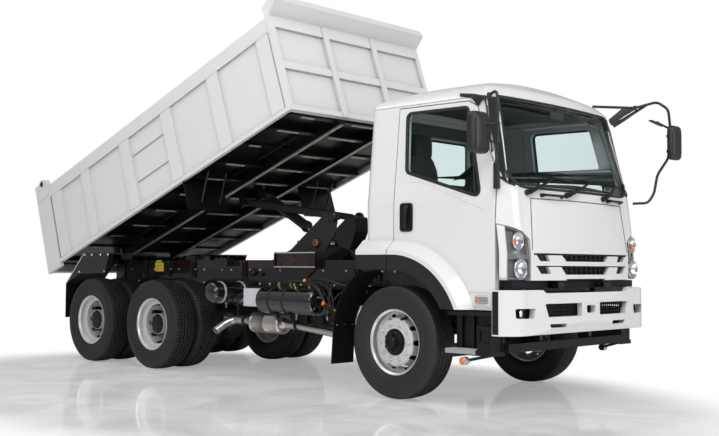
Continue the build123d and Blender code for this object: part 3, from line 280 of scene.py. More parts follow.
stainless = surface("stainless", (0.60, 0.57, 0.53), 0.28, metal=1.0, grain=140, vary=0.12, depth=0.00006)
tank_black = surface("tank_black", (0.006, 0.006, 0.0065), 0.12, coat=1.0, grain=150, vary=0.25,
                     depth=0.00008)
aluminium = surface("aluminium", (0.70, 0.70, 0.71), 0.33, metal=1.0, grain=700, vary=0.06, depth=0.00008,
                    edge=0.002)
guard = surface("guard", (0.005, 0.005, 0.005), 0.6, grain=300, vary=0.2, depth=0.0003, shine=0.15)

# %% [markdown]
# Window glass is thin, so it is made as a tinted clear sheet under a mirror that grows towards
# grazing angles.  The mirror is left off the back faces, or a pane would reflect twice.

# %% Glass, and a material for each node
def clear_surface(name, tint, share):
    """Glass as thin sheets: most light passes straight through, tinted, and the rest reflects."""
    made, tree, shader = plain_material(name)
    clean = 0.02                                    # roughness, and the tint's variation
    skin = skin_of(tree, tint, clean, 90.0, clean, 0.000004)
    shader.inputs["Base Color"].default_value = (0.02, 0.025, 0.025, 1)
    shader.inputs["Roughness"].default_value = clean
    flat, see = node(tree, "NewGeometry"), node(tree, "BsdfTransparent")
    glance = node(tree, "Fresnel", {"IOR": 1.5})
    weight = node(tree, "Math", {1: share, 2: 1.0 - share}, operation="MULTIPLY_ADD")
    front = node(tree, "Math", {0: 1.0}, operation="SUBTRACT")
    only = node(tree, "Math", operation="MULTIPLY")
    blend = node(tree, "MixShader")
    join(tree, (flat, "Normal", skin, "Normal"), (skin, "Normal", shader, "Normal"),
         (skin, "Colour", see, "Color"), (flat, "Backfacing", front, 1), (glance, 0, weight, 0),
         (weight, 0, only, 0), (front, 0, only, 1), (only, 0, blend, 0), (see, 0, blend, 1),
         (shader, 0, blend, 2), (blend, 0, tree.nodes["Material Output"], 0))
    return made


window_glass = clear_surface("window_glass", (0.935, 0.978, 0.974), 0.97)
lens_clear = clear_surface("lens_clear", (0.96, 0.97, 0.98), 0.95)

by_slot = {"frame_black": frame_black, "cab_white": cab_white, "bed_white": bed_white, "bed_under": bed_under,
           "hoist_grey": hoist_grey, "piston": piston, "wheel_steel": wheel_steel, "tyre": rubber,
           "glass": window_glass, "arch_grey": arch_grey, "trim_black": trim_black, "lamp": lens_clear,
           "seat": seat_cloth, "cast": casting, "stainless": stainless, "tank_black": tank_black,
           "aluminium": aluminium, "guard": guard}


def finish(node_name, material):
    """Puts one material on a node of the frame."""
    slots = nodes[node_name].data.materials
    slots.clear()
    slots.append(material)


for part in frame["record"]["subparts"]:
    finish(part["node"], by_slot[part["material_slot"]])

# %% [markdown]
# The floor is pale and polished, so the wheels show in it, and it fades into the white behind.
# A mask round the truck says where it fades, and a swirl makes the polish uneven.

# %% Floor mask
mask_group, _, m_out = shared_group("around_truck", [], [("Far", FLOAT), ("Cloud", FLOAT)])
spot = node(mask_group, "NewGeometry")
centred = node(mask_group, "Mapping", {"Location": (-0.10, 0.36, 0), "Rotation": (0, 0, radians(-7)),
                                       "Scale": (0.185, 0.275, 1)})
reach = node(mask_group, "VectorMath", operation="LENGTH")
fade = node(mask_group, "MapRange", {"From Min": 0.72, "From Max": 0.97}, interpolation_type="SMOOTHSTEP")
lift = node(mask_group, "MapRange", {"To Min": 0.30})
swirl = node(mask_group, "TexNoise", {"Scale": 1.1, "Detail": 5, "Distortion": 1.2})
cloud = node(mask_group, "MapRange", {"From Min": 0.35, "From Max": 0.65, "To Min": 0.32, "To Max": 0.60})
join(mask_group, (spot, "Position", centred, "Vector"), (centred, 0, reach, 0),
     (reach, "Value", fade, "Value"), (fade, 0, lift, "Value"), (lift, 0, m_out, "Far"),
     (spot, "Position", swirl, "Vector"), (swirl, "Fac", cloud, "Value"), (cloud, 0, m_out, "Cloud"))

# %% Floor
bpy.ops.mesh.primitive_plane_add(size=160, location=(0, 0, 0))
floor = bpy.context.object
floor.name = "floor"
polish, tree, shader = plain_material("floor_polish")
skin = skin_of(tree, (0.97, 0.97, 0.97), 0.5, 3, 0.01, 0.0002)
where, flat = node(tree, "Group", node_tree=mask_group), node(tree, "NewGeometry")
mirror_like = node(tree, "BsdfGlossy", {"Color": (1, 1, 1, 1), "Roughness": 0.06})
white, seen = node(tree, "Emission", {"Strength": 1.0}), node(tree, "LightPath")
share = node(tree, "Math", operation="MULTIPLY")
wet, end = node(tree, "MixShader"), node(tree, "MixShader")
join(tree, (flat, "Normal", skin, "Normal"), (skin, "Colour", shader, "Base Color"),
     (skin, "Rough", shader, "Roughness"), (skin, "Normal", shader, "Normal"),
     (skin, "Normal", mirror_like, "Normal"), (where, "Cloud", wet, 0), (shader, 0, wet, 1),
     (mirror_like, 0, wet, 2), (where, "Far", share, 0), (seen, "Is Camera Ray", share, 1),
     (share, 0, end, 0), (wet, 0, end, 1), (white, 0, end, 2), (end, 0, tree.nodes["Material Output"], 0))
floor.data.materials.append(polish)
print("floor laid")

# %% [markdown]
# Small parts are drawn as turned rings, swept tubes, boxes and plates that are gathered into one
# mesh per piece, then given a soft edge and set riding on the body that carries them.

# %% Drawing helpers
def axis_frame(axis):
    """A unit axis and two directions square to it."""
    axis = Vector(axis).normalized()
    first = axis.orthogonal().normalized()
    return axis, first, axis.cross(first)


class Shape:
    """Gathers turned, swept and flat forms into one mesh."""

    def __init__(self):
        self.bm = bmesh.new()

    def grid(self, rows, close_rows=False, close_columns=False):
        """Faces between rows of points."""
        verts = [[self.bm.verts.new(p) for p in row] for row in rows]
        count, wide = len(verts), len(verts[0])
        for i in range(count if close_rows else count - 1):
            for j in range(wide if close_columns else wide - 1):
                a, b = verts[i][j], verts[i][(j + 1) % wide]
                c, d = verts[(i + 1) % count][(j + 1) % wide], verts[(i + 1) % count][j]
                if len({a, b, c, d}) == 4:
                    self.bm.faces.new((a, b, c, d))
        return verts

    def turn(self, profile, centre, axis=(0, 1, 0), steps=48, closed=False):
        """Turns (radius, distance along the axis) points about an axis through the centre."""
        axis, first, second = axis_frame(axis)
        centre = Vector(centre)
        rows = []
        for k in range(steps):
            a = 2 * pi * k / steps
            way = first * cos(a) + second * sin(a)
            rows.append([centre + way * max(r, 0.00005) + axis * d for r, d in profile])
        self.grid(rows, close_rows=True, close_columns=closed)

    def tube(self, points, radius, sides=10, closed=False, flat=1.0, up=None, caps=True):
        """Sweeps a round or flattened section along points."""
        points = [Vector(p) for p in points]
        rows, frame_up = [], None
        count = len(points)
        for i, p in enumerate(points):
            before = points[i - 1] if (i or closed) else p
            after = points[(i + 1) % count] if (i < count - 1 or closed) else p
            way = (after - before).normalized()
            if frame_up is None:
                frame_up = Vector(up) if up is not None else way.orthogonal()
            side = way.cross(frame_up).normalized()
            frame_up = side.cross(way).normalized()
            r = radius[i] if isinstance(radius, (list, tuple)) else radius
            turns = [2 * pi * k / sides for k in range(sides)]
            rows.append([p + side * (r * cos(a)) + frame_up * (r * flat * sin(a)) for a in turns])
        verts = self.grid(rows, close_rows=closed, close_columns=True)
        if caps and not closed:
            self.bm.faces.new(verts[0])
            self.bm.faces.new(verts[-1])

    def box(self, low, high, turn=None):
        """A box between two opposite corners, turned about its middle if asked."""
        low, high = Vector(map(min, low, high)), Vector(map(max, low, high))
        middle, size = (low + high) / 2, (high - low) / 2
        corners = []
        for sx in (-1, 1):
            for sy in (-1, 1):
                for sz in (-1, 1):
                    p = Vector((sx * size.x, sy * size.y, sz * size.z))
                    corners.append(self.bm.verts.new(middle + (turn @ p if turn else p)))
        for face in ((0, 1, 3, 2), (4, 6, 7, 5), (0, 4, 5, 1), (2, 3, 7, 6), (0, 2, 6, 4), (1, 5, 7, 3)):
            self.bm.faces.new([corners[i] for i in face])

    def plate(self, outline, move):
        """A flat outline of points pushed along a vector."""
        move = Vector(move)
        near = [self.bm.verts.new(Vector(p)) for p in outline]
        far = [self.bm.verts.new(Vector(p) + move) for p in outline]
        self.bm.faces.new(near)
        self.bm.faces.new(list(reversed(far)))
        for i in range(len(near)):
            j = (i + 1) % len(near)
            self.bm.faces.new((near[j], near[i], far[i], far[j]))

    def ball(self, centre, radius, squash=(1, 1, 1)):
        """A ball, squashed along the axes if asked."""
        made = bmesh.ops.create_uvsphere(self.bm, u_segments=20, v_segments=12, radius=1.0)
        for v in made["verts"]:
            v.co = Vector(centre) + Vector([c * radius * share for c, share in zip(v.co, squash)])

    def nut(self, centre, axis, across, high, turn=0.0):
        """A six-sided nut with a washer under it and a stud through it."""
        axis, first, second = axis_frame(axis)
        centre = Vector(centre)
        corners = [turn + pi * k / 3 for k in range(6)]
        rows = []
        for r, d in ((across * 0.50, 0.0), (across * 0.58, high * 0.05), (across * 0.58, high * 0.75),
                     (across * 0.50, high), (across * 0.28, high), (across * 0.27, high * 1.25),
                     (0.0003, high * 1.3)):
            rows.append([centre + axis * d + (first * cos(a) + second * sin(a)) * r for a in corners])
        self.grid(rows, close_columns=True)
        washer = [(across * 0.78, 0), (across * 0.78, high * 0.18), (across * 0.5, high * 0.3)]
        self.turn(washer, centre, axis, 16)

    def done(self, name, material, body, slot, bevel=0.0, smooth=35, thick=0.0):
        """Writes the piece, softens its edges and sets it riding."""
        bmesh.ops.recalc_face_normals(self.bm, faces=self.bm.faces)
        mesh = bpy.data.meshes.new(name)
        self.bm.to_mesh(mesh)
        self.bm.free()
        piece = bpy.data.objects.new(name, mesh)
        scene.collection.objects.link(piece)
        mesh.materials.append(material)
        for polygon in mesh.polygons:
            polygon.use_smooth = True
        mesh.set_sharp_from_angle(angle=radians(smooth))
        if thick:
            shell = piece.modifiers.new("thick", "SOLIDIFY")
            shell.thickness = thick
            shell.offset = 0
        if bevel:
            soft = piece.modifiers.new("soft_edges", "BEVEL")
            soft.width = bevel
            soft.segments = 2
            soft.limit_method = "ANGLE"
            soft.angle_limit = radians(40)
            soft.harden_normals = True
        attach(piece, body)
        return piece


print("drawing helpers ready")

# %% [markdown]
# Places are measured forward from the front axle, as on a drawing.  Small details have to lie on
# the CAD skin, which curves, so rays are shot at it from the side or from ahead.  Each hit gives
# a place and the direction that the skin faces there, and the detail is lifted off along it.

# %% Outlines and rays
def at(x, y, z):
    """A point measured forward from the front axle."""
    return Vector((axle_x + x, y, z))


def rounded(points, radius, steps=5):
    """A closed outline of 2-D points with every corner rounded."""
    made = []
    count = len(points)
    for i in range(count):
        p, before, after = (Vector(points[i]), Vector(points[i - 1]), Vector(points[(i + 1) % count]))
        r = radius[i] if isinstance(radius, (list, tuple)) else radius
        a, b = (before - p).normalized(), (after - p).normalized()
        half = acos(max(-1, min(1, a.dot(b)))) / 2
        room = 0.45 * min((before - p).length, (after - p).length)
        reach = min(r / max(sin(half) / cos(half), 0.01), room)
        start, end = p + a * reach, p + b * reach
        for k in range(steps + 1):
            t = k / steps
            made.append((1 - t) ** 2 * start + 2 * t * (1 - t) * p + t * t * end)
    return made


def along(points, gap):
    """The same closed outline with points no further apart than the gap."""
    made = []
    for i, p in enumerate(points):
        q = points[(i + 1) % len(points)]
        steps = max(1, int((q - p).length / gap))
        made += [p.lerp(q, k / steps) for k in range(steps)]
    return made


def hit(names, start, way):
    """Where a ray first meets one of the named CAD nodes, and the surface's outward direction."""
    start, best = Vector(start), None
    for name in names:
        found, place, normal, _ = nodes[name].ray_cast(start, Vector(way))
        if found and (best is None or (place - start).length < (best[0] - start).length):
            best = (place, normal)
    return best


def mark_side(side, x, z, lift, names):
    """A point just outside the cab's or the bed's side at x and z, seen straight from that side."""
    found = hit(names, (x, side * 3, z), (0, -side, 0))
    return found[0] + found[1] * lift if found else None


def mark_front(y, z, lift, names):
    """A point just outside the cab's front at y and z, seen straight from ahead."""
    found = hit(names, at(3, y, z), (-1, 0, 0))
    return found[0] + found[1] * lift if found else None


print("outlines and rays ready")

# %% [markdown]
# Tyres are 11R22.5 size.  Their cross-section is turned in many small steps, and the tread's
# ribs and blocks are pressed into it: long zigzag grooves all round, with cross cuts that
# reach over the shoulders on the driven wheels.

# %% Tyre section
tyre_wall = [(0.288, 0.094), (0.292, 0.108), (0.303, 0.114), (0.312, 0.117), (0.3135, 0.1185),
             (0.3165, 0.1185), (0.318, 0.1195), (0.345, 0.1290), (0.3465, 0.1312), (0.3505, 0.1318),
             (0.352, 0.1310), (0.385, 0.1378), (0.415, 0.1398), (0.4165, 0.1412), (0.4215, 0.1412),
             (0.423, 0.1398), (0.452, 0.1378), (0.474, 0.1330)]
shoulder = [(0.488, 0.1275), (0.499, 0.1220), (0.506, 0.1150)]
crown_radius, crown_drop, half_tread = 0.5152, 0.0085, 0.115
steps_in_pitch = (0.0, 0.38, 0.41, 0.48, 0.51, 0.88, 0.91, 0.98)


def tread_columns(grooves, width, depth):
    """Columns across the tread: (radius, offset, rib number, zigzag share)."""
    outer, edge, slope = crown_radius - crown_drop, 0.110, 0.0012
    columns = [(outer, -edge, 0, 0.0)]
    for i, o in enumerate(grooves):
        for step, low in ((-width / 2, 0), (-width / 2 + slope, depth), (width / 2 - slope, depth),
                          (width / 2, 0)):
            crown = crown_radius - crown_drop * (abs(o + step) / half_tread) ** 2.4
            rib = i if step < 0 else i + 1
            columns.append((crown - low, o + step, rib if low == 0 else -1, 1.0))
    return columns + [(outer, edge, len(grooves), 0.0)]


def tyre_rows(y, grooves, width, depth, pitches, cut_depth, zig):
    """Rows of points round one tyre about the wheel's own centre."""
    last = len(grooves)
    left = [(r, -o, -2, 0) for r, o in tyre_wall] + [(r, -o, 0, 0) for r, o in shoulder]
    right_side = [(r, -o, last if rib == 0 else rib, 0) for r, o, rib, _ in reversed(left)]
    columns = left + tread_columns(grooves, width, depth) + right_side
    rows = []
    for j in range(pitches * 8):
        step = j % 8
        a = 2 * pi * (j // 8 + steps_in_pitch[step]) / pitches
        row = []
        for r, o, rib, share in columns:
            cut = 0.0
            if rib >= 0 and cut_depth:
                if (step in (2, 3) and rib % 2 == 0) or (step in (6, 7) and rib % 2 == 1):
                    cut = cut_depth if rib not in (0, last) else cut_depth * 0.8
                elif step in (6, 7) and rib in (0, last):
                    cut = cut_depth * 0.8
            wave = zig * share * (1 if step < 4 else -1)
            row.append((sin(a) * (r - cut), y + o + wave, cos(a) * (r - cut)))
        rows.append(row)
    return rows


print("tyre section of", 2 * len(tyre_wall + shoulder), "points beside the tread")

# %% Tyres
rubber_tread = surface("tyre_rubber", (0.016, 0.016, 0.0165), 0.55, grain=500, vary=0.3, depth=0.0003,
                       shine=0.45, hollow=0.035, deep=0.95)
# grooves, their width and depth, pitches round the tyre, depth of its cross cuts, zigzag
front_tread = ((-0.072, -0.026, 0.026, 0.072), 0.010, 0.013, 48, 0.0035, 0.0015)
driven_tread = ((-0.064, -0.022, 0.022, 0.064), 0.011, 0.014, 44, 0.011, 0.0035)
# axle, its ending in names, place along the truck, places of its tyres across it, tread
axles = (("front", "", axle_x, (1.030,), front_tread),
         ("second", "s", second_x, (1.045, 0.715), driven_tread),
         ("third", "s", third_x, (1.045, 0.715), driven_tread))
for side_name, side in both_sides:
    for axle, ending, x, places, tread in axles:
        shape = Shape()
        for y in places:
            shape.grid(tyre_rows(side * y, *tread), close_rows=True)
        tyre = shape.done(f"tread_{axle}_{side_name}", rubber_tread, f"{axle}_wheel{ending}_{side_name}",
                          "tyre", smooth=32)
        tyre.data.transform(Matrix.Translation((x, 0, axle_z)))
        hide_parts(f"tyre{ending}_{axle}_{side_name}")
treads = [o for o in bpy.data.objects if o.name.startswith("tread_")]
print("tyres", sum(len(o.data.polygons) for o in treads), "faces")

# %% [markdown]
# Each wheel is held by ten studs on a 335 mm circle.  The front hub stands proud in black with
# ribs and a cap; the rear hubs end deep inside the outer rims.

# %% Hubs and nuts
hub_black = surface("hub_black", (0.006, 0.006, 0.0065), 0.38, grain=200, vary=0.2, depth=0.0003, edge=0.002,
                    shine=0.3, hollow=0.03, deep=0.8)
nut_steel = surface("nut_steel", (0.76, 0.76, 0.77), 0.34, metal=0.45, grain=400, vary=0.08, depth=0.0001,
                    hollow=0.02, deep=0.7)
stud_circle, stud_count = 0.1675, 10
front_face, rear_face = 1.125, 0.893                # where the nuts sit, from the truck's middle
ring_profile = [(0.205, 0.0), (0.205, 0.004), (0.201, 0.006), (0.132, 0.006), (0.128, 0.010), (0.122, 0.010),
                (0.122, 0.0)]
front_hub = [(0.121, 0.0), (0.121, 0.006), (0.112, 0.012), (0.100, 0.012), (0.096, 0.034), (0.088, 0.040),
             (0.060, 0.040), (0.057, 0.044), (0.055, 0.078), (0.047, 0.088), (0.028, 0.092), (0.026, 0.085),
             (0.0, 0.085)]
rear_hub = [(0.146, 0.0), (0.144, 0.022), (0.122, 0.030), (0.1185, 0.150), (0.1185, 0.178), (0.112, 0.186),
            (0.090, 0.188), (0.088, 0.194), (0.060, 0.196), (0.0, 0.196)]


def nut_circle(shape, x, y, side, radius, count, start, across, high):
    """Nuts evenly spaced round a wheel's axis."""
    for k in range(count):
        a = 2 * pi * (k + start) / count
        shape.nut((x + radius * sin(a), y, axle_z + radius * cos(a)), (0, side, 0), across, high, a)


for side_name, side in both_sides:
    out = (0, side, 0)
    nuts, hub = Shape(), Shape()
    nut_circle(nuts, axle_x, side * front_face, side, stud_circle, stud_count, 0.5, 0.030, 0.026)
    nuts.turn(ring_profile, (axle_x, side * front_face, axle_z), out, 72)
    hub.turn(front_hub, (axle_x, side * front_face, axle_z), out, 64)
    half_rib = Vector((0.008, 0.018, 0.020))
    for k in range(6):
        spoke = Matrix.Rotation(2 * pi * k / 6, 3, "Y")
        middle = Vector((axle_x, side * (front_face + 0.030), axle_z)) + spoke @ Vector((0, 0, 0.078))
        hub.box(middle - half_rib, middle + half_rib, spoke)
    nuts.done(f"nuts_front_{side_name}", nut_steel, f"front_wheel_{side_name}", "wheel_steel", bevel=0.0006)
    hub.done(f"hub_front_{side_name}", hub_black, f"front_wheel_{side_name}", "cast", bevel=0.001)
    for name, x in (("second", second_x), ("third", third_x)):
        nuts, hub = Shape(), Shape()
        body = f"{name}_wheels_{side_name}"
        nut_circle(nuts, x, side * rear_face, side, stud_circle, stud_count, 0.5, 0.030, 0.030)
        hub.turn(rear_hub, (x, side * rear_face, axle_z), out, 56)
        nut_circle(hub, x, side * 1.080, side, 0.100, 8, 0, 0.016, 0.010)
        nuts.turn([(0.300, 0.0), (0.2985, 0.006), (0.292, 0.007), (0.2905, 0.0)],
                  (x, side * 1.1545, axle_z), out, 72)
        nuts.done(f"nuts_{name}_{side_name}", nut_steel, body, "wheel_steel", bevel=0.0006)
        hub.done(f"hub_{name}_{side_name}", hub_black, body, "cast", bevel=0.001)
print("hubs and nuts on six wheels")

# %% [markdown]
# Rubber seals the windows: a flattened cord follows each opening on the panel's own surface.
# The windscreen is bonded, with a black printed border, and its lower corners are rounded.

# %% Window seals
seal_rubber = surface("seal_rubber", (0.012, 0.012, 0.012), 0.5, grain=600, vary=0.2, depth=0.0001)
wrap_dark = surface("wrap_dark", (0.016, 0.021, 0.022), 0.06, coat=0.3, grain=40, vary=0.4, depth=0.00001,
                    shine=0.4)
frit_black = surface("frit_black", (0.006, 0.006, 0.007), 0.12, coat=0.6, grain=900, vary=0.1, depth=0.00002)
inner_grey = surface("inner_grey", (0.10, 0.105, 0.11), 0.7, grain=900, vary=0.12, depth=0.0002)
inner_dark = surface("inner_dark", (0.045, 0.048, 0.050), 0.7, grain=900, vary=0.15, depth=0.0002)


def smooth_line(points, steps=8):
    """A smooth line through 2-D points."""
    p = [Vector(q) for q in points]
    p = [2 * p[0] - p[1], *p, 2 * p[-1] - p[-2]]
    made = []
    for a, b, c, d in zip(p, p[1:], p[2:], p[3:]):
        for k in range(steps):
            t = k / steps
            made.append(0.5 * (2 * b + (c - a) * t + (2 * a - 5 * b + 4 * c - d) * t * t
                               + (3 * b - a - 3 * c + d) * t ** 3))
    return made + [p[-2]]


cab_side, belt_z = 1.090, 1.780                     # half width up to the belt line, and its height


def cab_half(z):
    """Half width of the cab's outer side at a height; above the belt it leans in."""
    return cab_side - max(0.0, z - belt_z) * 0.098 / 1.046


side_window = [(axle_x + x, z) for x, z in ((0.067, 2.057), (0.035, 2.600), (0.740, 2.590), (0.930, 1.790))]
for side_name, side in both_sides:
    edge = along(rounded(side_window, 0.055), 0.05)
    seal = Shape()
    outer, inner = [[(p.x, side * (cab_half(p.y) + lift), p.y) for p in edge] for lift in (0.001, -0.018)]
    seal.tube(outer, 0.015, 8, closed=True, flat=0.45, up=(0, 1, 0))
    seal.tube(inner, 0.010, 8, closed=True)
    # the quarter pane's post
    seal.tube([at(0.862, side * (cab_half(1.83) - 0.012), 1.83),
               at(0.800, side * (cab_half(2.32) - 0.012), 2.33)], 0.011, 8)
    seal.done(f"window_seal_{side_name}", seal_rubber, f"door_{side_name}", "trim_black")
back_edge = along(rounded([(-0.480, 2.030), (0.480, 2.030), (0.480, 2.480), (-0.480, 2.480)], 0.055), 0.08)
seal = Shape()
seal.tube([at(-0.451, p.x, p.y) for p in back_edge], 0.015, 8, closed=True, flat=0.45, up=(1, 0, 0))
seal.done("window_seal_back", seal_rubber, "cab", "trim_black")

print("seals round the side and back windows")

# %% [markdown]
# The windscreen has a dark border on the pane, a seal along its top and foot, and dark ends that
# carry the glass round over the pillars.  All three are laid on the glass by rays, point by point,
# so they follow its curve, which a flat border couldn't do.

# %% Windscreen border and ends
glass_only = ["cab_glass"]
screen = [(-0.985, 1.895), (0.985, 1.895), (0.880, 2.672), (-0.880, 2.672)]
outer_edge = along(rounded([(-0.998, 1.880), (0.998, 1.880), (0.893, 2.680), (-0.893, 2.680)],
                           [0.19, 0.19, 0.05, 0.05]), 0.05)
seal = Shape()
path = []
for p in outer_edge:
    on_panel = mark_front(p.x, p.y, 0.002, ["cab_sides", "cab_front", "cab_roof"])
    path.append(on_panel or mark_front(p.x, p.y, 0.020, glass_only))
for low, high in ((1.0, 2.06), (2.56, 3.0)):        # along the foot, then along the top
    run = sorted([p for p in path if low < p.z < high], key=lambda p: p.y)
    seal.tube(run, 0.013, 8, flat=0.5, up=(1, 0, 0))
seal.done("windscreen_seal", seal_rubber, "cab", "trim_black")
border = Shape()
edge = along(rounded(screen, [0.13, 0.13, 0.05, 0.05]), 0.045)
middle = Vector((0, 2.28))
rows = []
for p in edge:
    way = (middle - p).normalized()
    start = 0.0
    while not mark_front(*(p + way * start), 0.0015, glass_only) and start < 0.3:
        start += 0.004
    rows.append([mark_front(*(p + way * (start + inward)), 0.0015, glass_only)
                 for inward in (0.0, 0.014, 0.028, 0.045)])
border.grid(rows, close_rows=True)
border.done("windscreen_border", frit_black, "cab", "trim_black", thick=0.001)
# the outer line of the glass ends, from the roof down to the corner: forward, half width, height
wrap_line = [(0.905, 1.000, 2.668), (0.925, 1.002, 2.560), (0.945, 1.006, 2.415), (0.965, 1.012, 2.300),
             (0.988, 1.020, 2.180), (1.015, 1.030, 2.090), (1.050, 1.040, 2.015), (1.095, 1.035, 1.955),
             (1.150, 1.010, 1.915), (1.210, 0.960, 1.888)]
wrap, wrap_seal = Shape(), Shape()
for side in (-1, 1):
    rows, rim = [], []
    for x, y, z in wrap_line:
        outer, inner, k = at(x, side * y, z), None, 0
        while inner is None:
            inner = mark_front(side * (0.985 - 0.004 * k), max(z, 1.900), 0.0, glass_only)
            k += 1
        inner = inner + Vector((0.0, -side * 0.045, 0.0))
        row = []
        for k in range(9):
            p = outer.lerp(inner, k / 8)
            way = Vector((-0.75, -side * 0.66, 0.0)).lerp(Vector((-1.0, -side * 0.15, 0.0)), k / 8)
            way.normalize()
            found = hit(["cab_sides", "cab_front", "cab_roof", "cab_glass"], p - way * 0.6, way)
            row.append(found[0] - way * 0.003 if found else p)
        rows.append(row)
        rim.append(row[0] + Vector((0.0, side * 0.001, 0.0)))
    wrap.grid(rows)
    wrap_seal.tube(rim, 0.011, 8, flat=0.6)
wrap.done("windscreen_ends", wrap_dark, "cab", "glass", smooth=80)
wrap_seal.done("windscreen_end_seals", seal_rubber, "cab", "trim_black")
print("windscreen bordered")

# %% [markdown]
# The doors carry a recessed black handle, a crease under the window line and, low down, a
# small turn lamp in its own shallow pocket.  Each rides with its door, so it opens with it.

# %% Trim finishes
gap_black = surface("gap_black", (0.010, 0.010, 0.010), 0.7, grain=400, vary=0.2, depth=0.0001)
amber = surface("amber", (0.85, 0.22, 0.02), 0.2, coat=0.6, grain=300, vary=0.1, depth=0.0001)
reflector = surface("reflector", (0.80, 0.81, 0.83), 0.16, metal=1.0, grain=70, vary=0.25, depth=0.0006)
bezel_grey = surface("bezel_grey", (0.26, 0.265, 0.27), 0.32, metal=0.4, coat=0.5, grain=600, vary=0.15,
                     depth=0.0001)


def rectangle(x0, x1, z0, z1, radius, gap):
    """A rounded upright rectangle, measured forward from the front axle."""
    corners = [(axle_x + x0, z0), (axle_x + x1, z0), (axle_x + x1, z1), (axle_x + x0, z1)]
    return along(rounded(corners, radius), gap)


# %% Door handles and turn lamps
for side_name, side in both_sides:
    body = f"door_{side_name}"
    y = side * cab_side
    handle = Shape()
    pocket = rectangle(0.025, 0.164, 1.520, 1.765, 0.028, 0.02)
    handle.plate([(p.x, y - side * 0.004, p.y) for p in pocket], (0, side * 0.008, 0))
    handle.tube([(p.x, y + side * 0.004, p.y) for p in pocket], 0.008, 8, closed=True)
    handle.tube([at(0.108, y + side * 0.006, 1.745), at(0.104, y + side * 0.030, 1.715),
                 at(0.100, y + side * 0.034, 1.640), at(0.096, y + side * 0.030, 1.575),
                 at(0.090, y + side * 0.006, 1.552)], [0.018, 0.021, 0.020, 0.021, 0.018], 12, flat=0.55,
                up=(0, 1, 0))
    handle.turn([(0.0, 0.007), (0.011, 0.007), (0.013, 0.0)], at(0.094, y + side * 0.004, 1.540),
                (0, side, 0), 20)
    handle.done(f"door_handle_{side_name}", trim_black, body, "trim_black", bevel=0.001)
    lamp = Shape()
    ring = rectangle(0.805, 1.045, 0.865, 0.985, 0.035, 0.02)
    lamp_y = hit([body], at(0.95, side * 3, 0.92), (0, -side, 0))[0].y
    lamp.tube([(p.x, lamp_y, p.y) for p in ring], 0.005, 8, closed=True)
    lamp.done(f"turn_lamp_pocket_{side_name}", cab_white, body, "cab_white")
    lens, bulb = Shape(), Shape()
    lens.box(at(0.878, lamp_y, 0.890), at(1.010, lamp_y + side * 0.018, 0.955))
    lens.done(f"turn_lamp_{side_name}", reflector, body, "lamp", bevel=0.012)
    bulb.ball(at(0.915, lamp_y + side * 0.012, 0.922), 0.019, (1, 0.5, 1))
    bulb.done(f"turn_lamp_bulb_{side_name}", amber, body, "lamp")

# %% [markdown]
# A pressed crease crosses each door, and thin dark grooves show where the front panel opens.
# Both are slender cords laid on the surface, half sunk, which catch the light like the real ones.

# %% Door creases and the front panel's lines
line = smooth_line([(-0.004, 2.031), (0.033, 1.985), (0.110, 1.968), (0.292, 1.944), (0.587, 1.835),
                    (0.960, 1.690)])
for side_name, side in both_sides:
    crease = Shape()
    crease.tube([at(p.x, side * (cab_half(p.y) - 0.001), p.y) for p in line], 0.007, 8, flat=0.5, up=(0, 1, 0))
    crease.done(f"door_crease_{side_name}", cab_white, f"door_{side_name}", "cab_white", smooth=80)


def on_front(points, lift, names):
    """The points of a line that lie on the front, each given as (y, z)."""
    found = [mark_front(y, z, lift, names) for y, z in points]
    return [p for p in found if p]


lines, panel = Shape(), ["cab_front"]
foot_z, head_z, foot_y, head_y = 1.345, 1.785, 0.790, 0.745
for side in (-1, 1):
    seam = [(side * (foot_y - (foot_y - head_y) * k / 14), foot_z + (head_z - foot_z) * k / 14)
            for k in range(15)]
    lines.tube(on_front(seam, 0.0005, panel), 0.0035, 6)
across = [-head_y + 1.49 * k / 40 for k in range(41)]
lines.tube(on_front([(y, 1.790 - 0.005 * (abs(y) / head_y) ** 2) for y in across], 0.0005, panel), 0.0035, 6)
lines.done("front_panel_lines", gap_black, "cab", "trim_black")
print("doors and front panel detailed")

# %% [markdown]
# Each headlamp is a clear cover over a dark housing.  A tall bowl with an amber bulb sits over
# a grey bar, and a wide faceted bowl sits below it.

# %% Headlamps
def lamp_point(side, y, z, deep):
    """A point on the lamp's face, set back by a depth."""
    found = mark_front(side * y, z, 0.0, ["headlamps"])
    return Vector(((found.x if found else axle_x + 1.2) - deep, side * y, z))


lamp_foot, lamp_left, lamp_wide = 1.089, 0.822, 0.222


def lamp_top(y):
    """Height of the lamp's upper edge: steep at its inner end, then rising gently."""
    return 1.436 + (y - 0.812) * (1.500 - 1.436) / 0.088 if y < 0.90 else 1.500 + (y - 0.900) / 3.0


def column(y, top, steps):
    """Points up the lamp from its foot."""
    return [(y, lamp_foot + (top - lamp_foot) * j / steps) for j in range(steps + 1)]


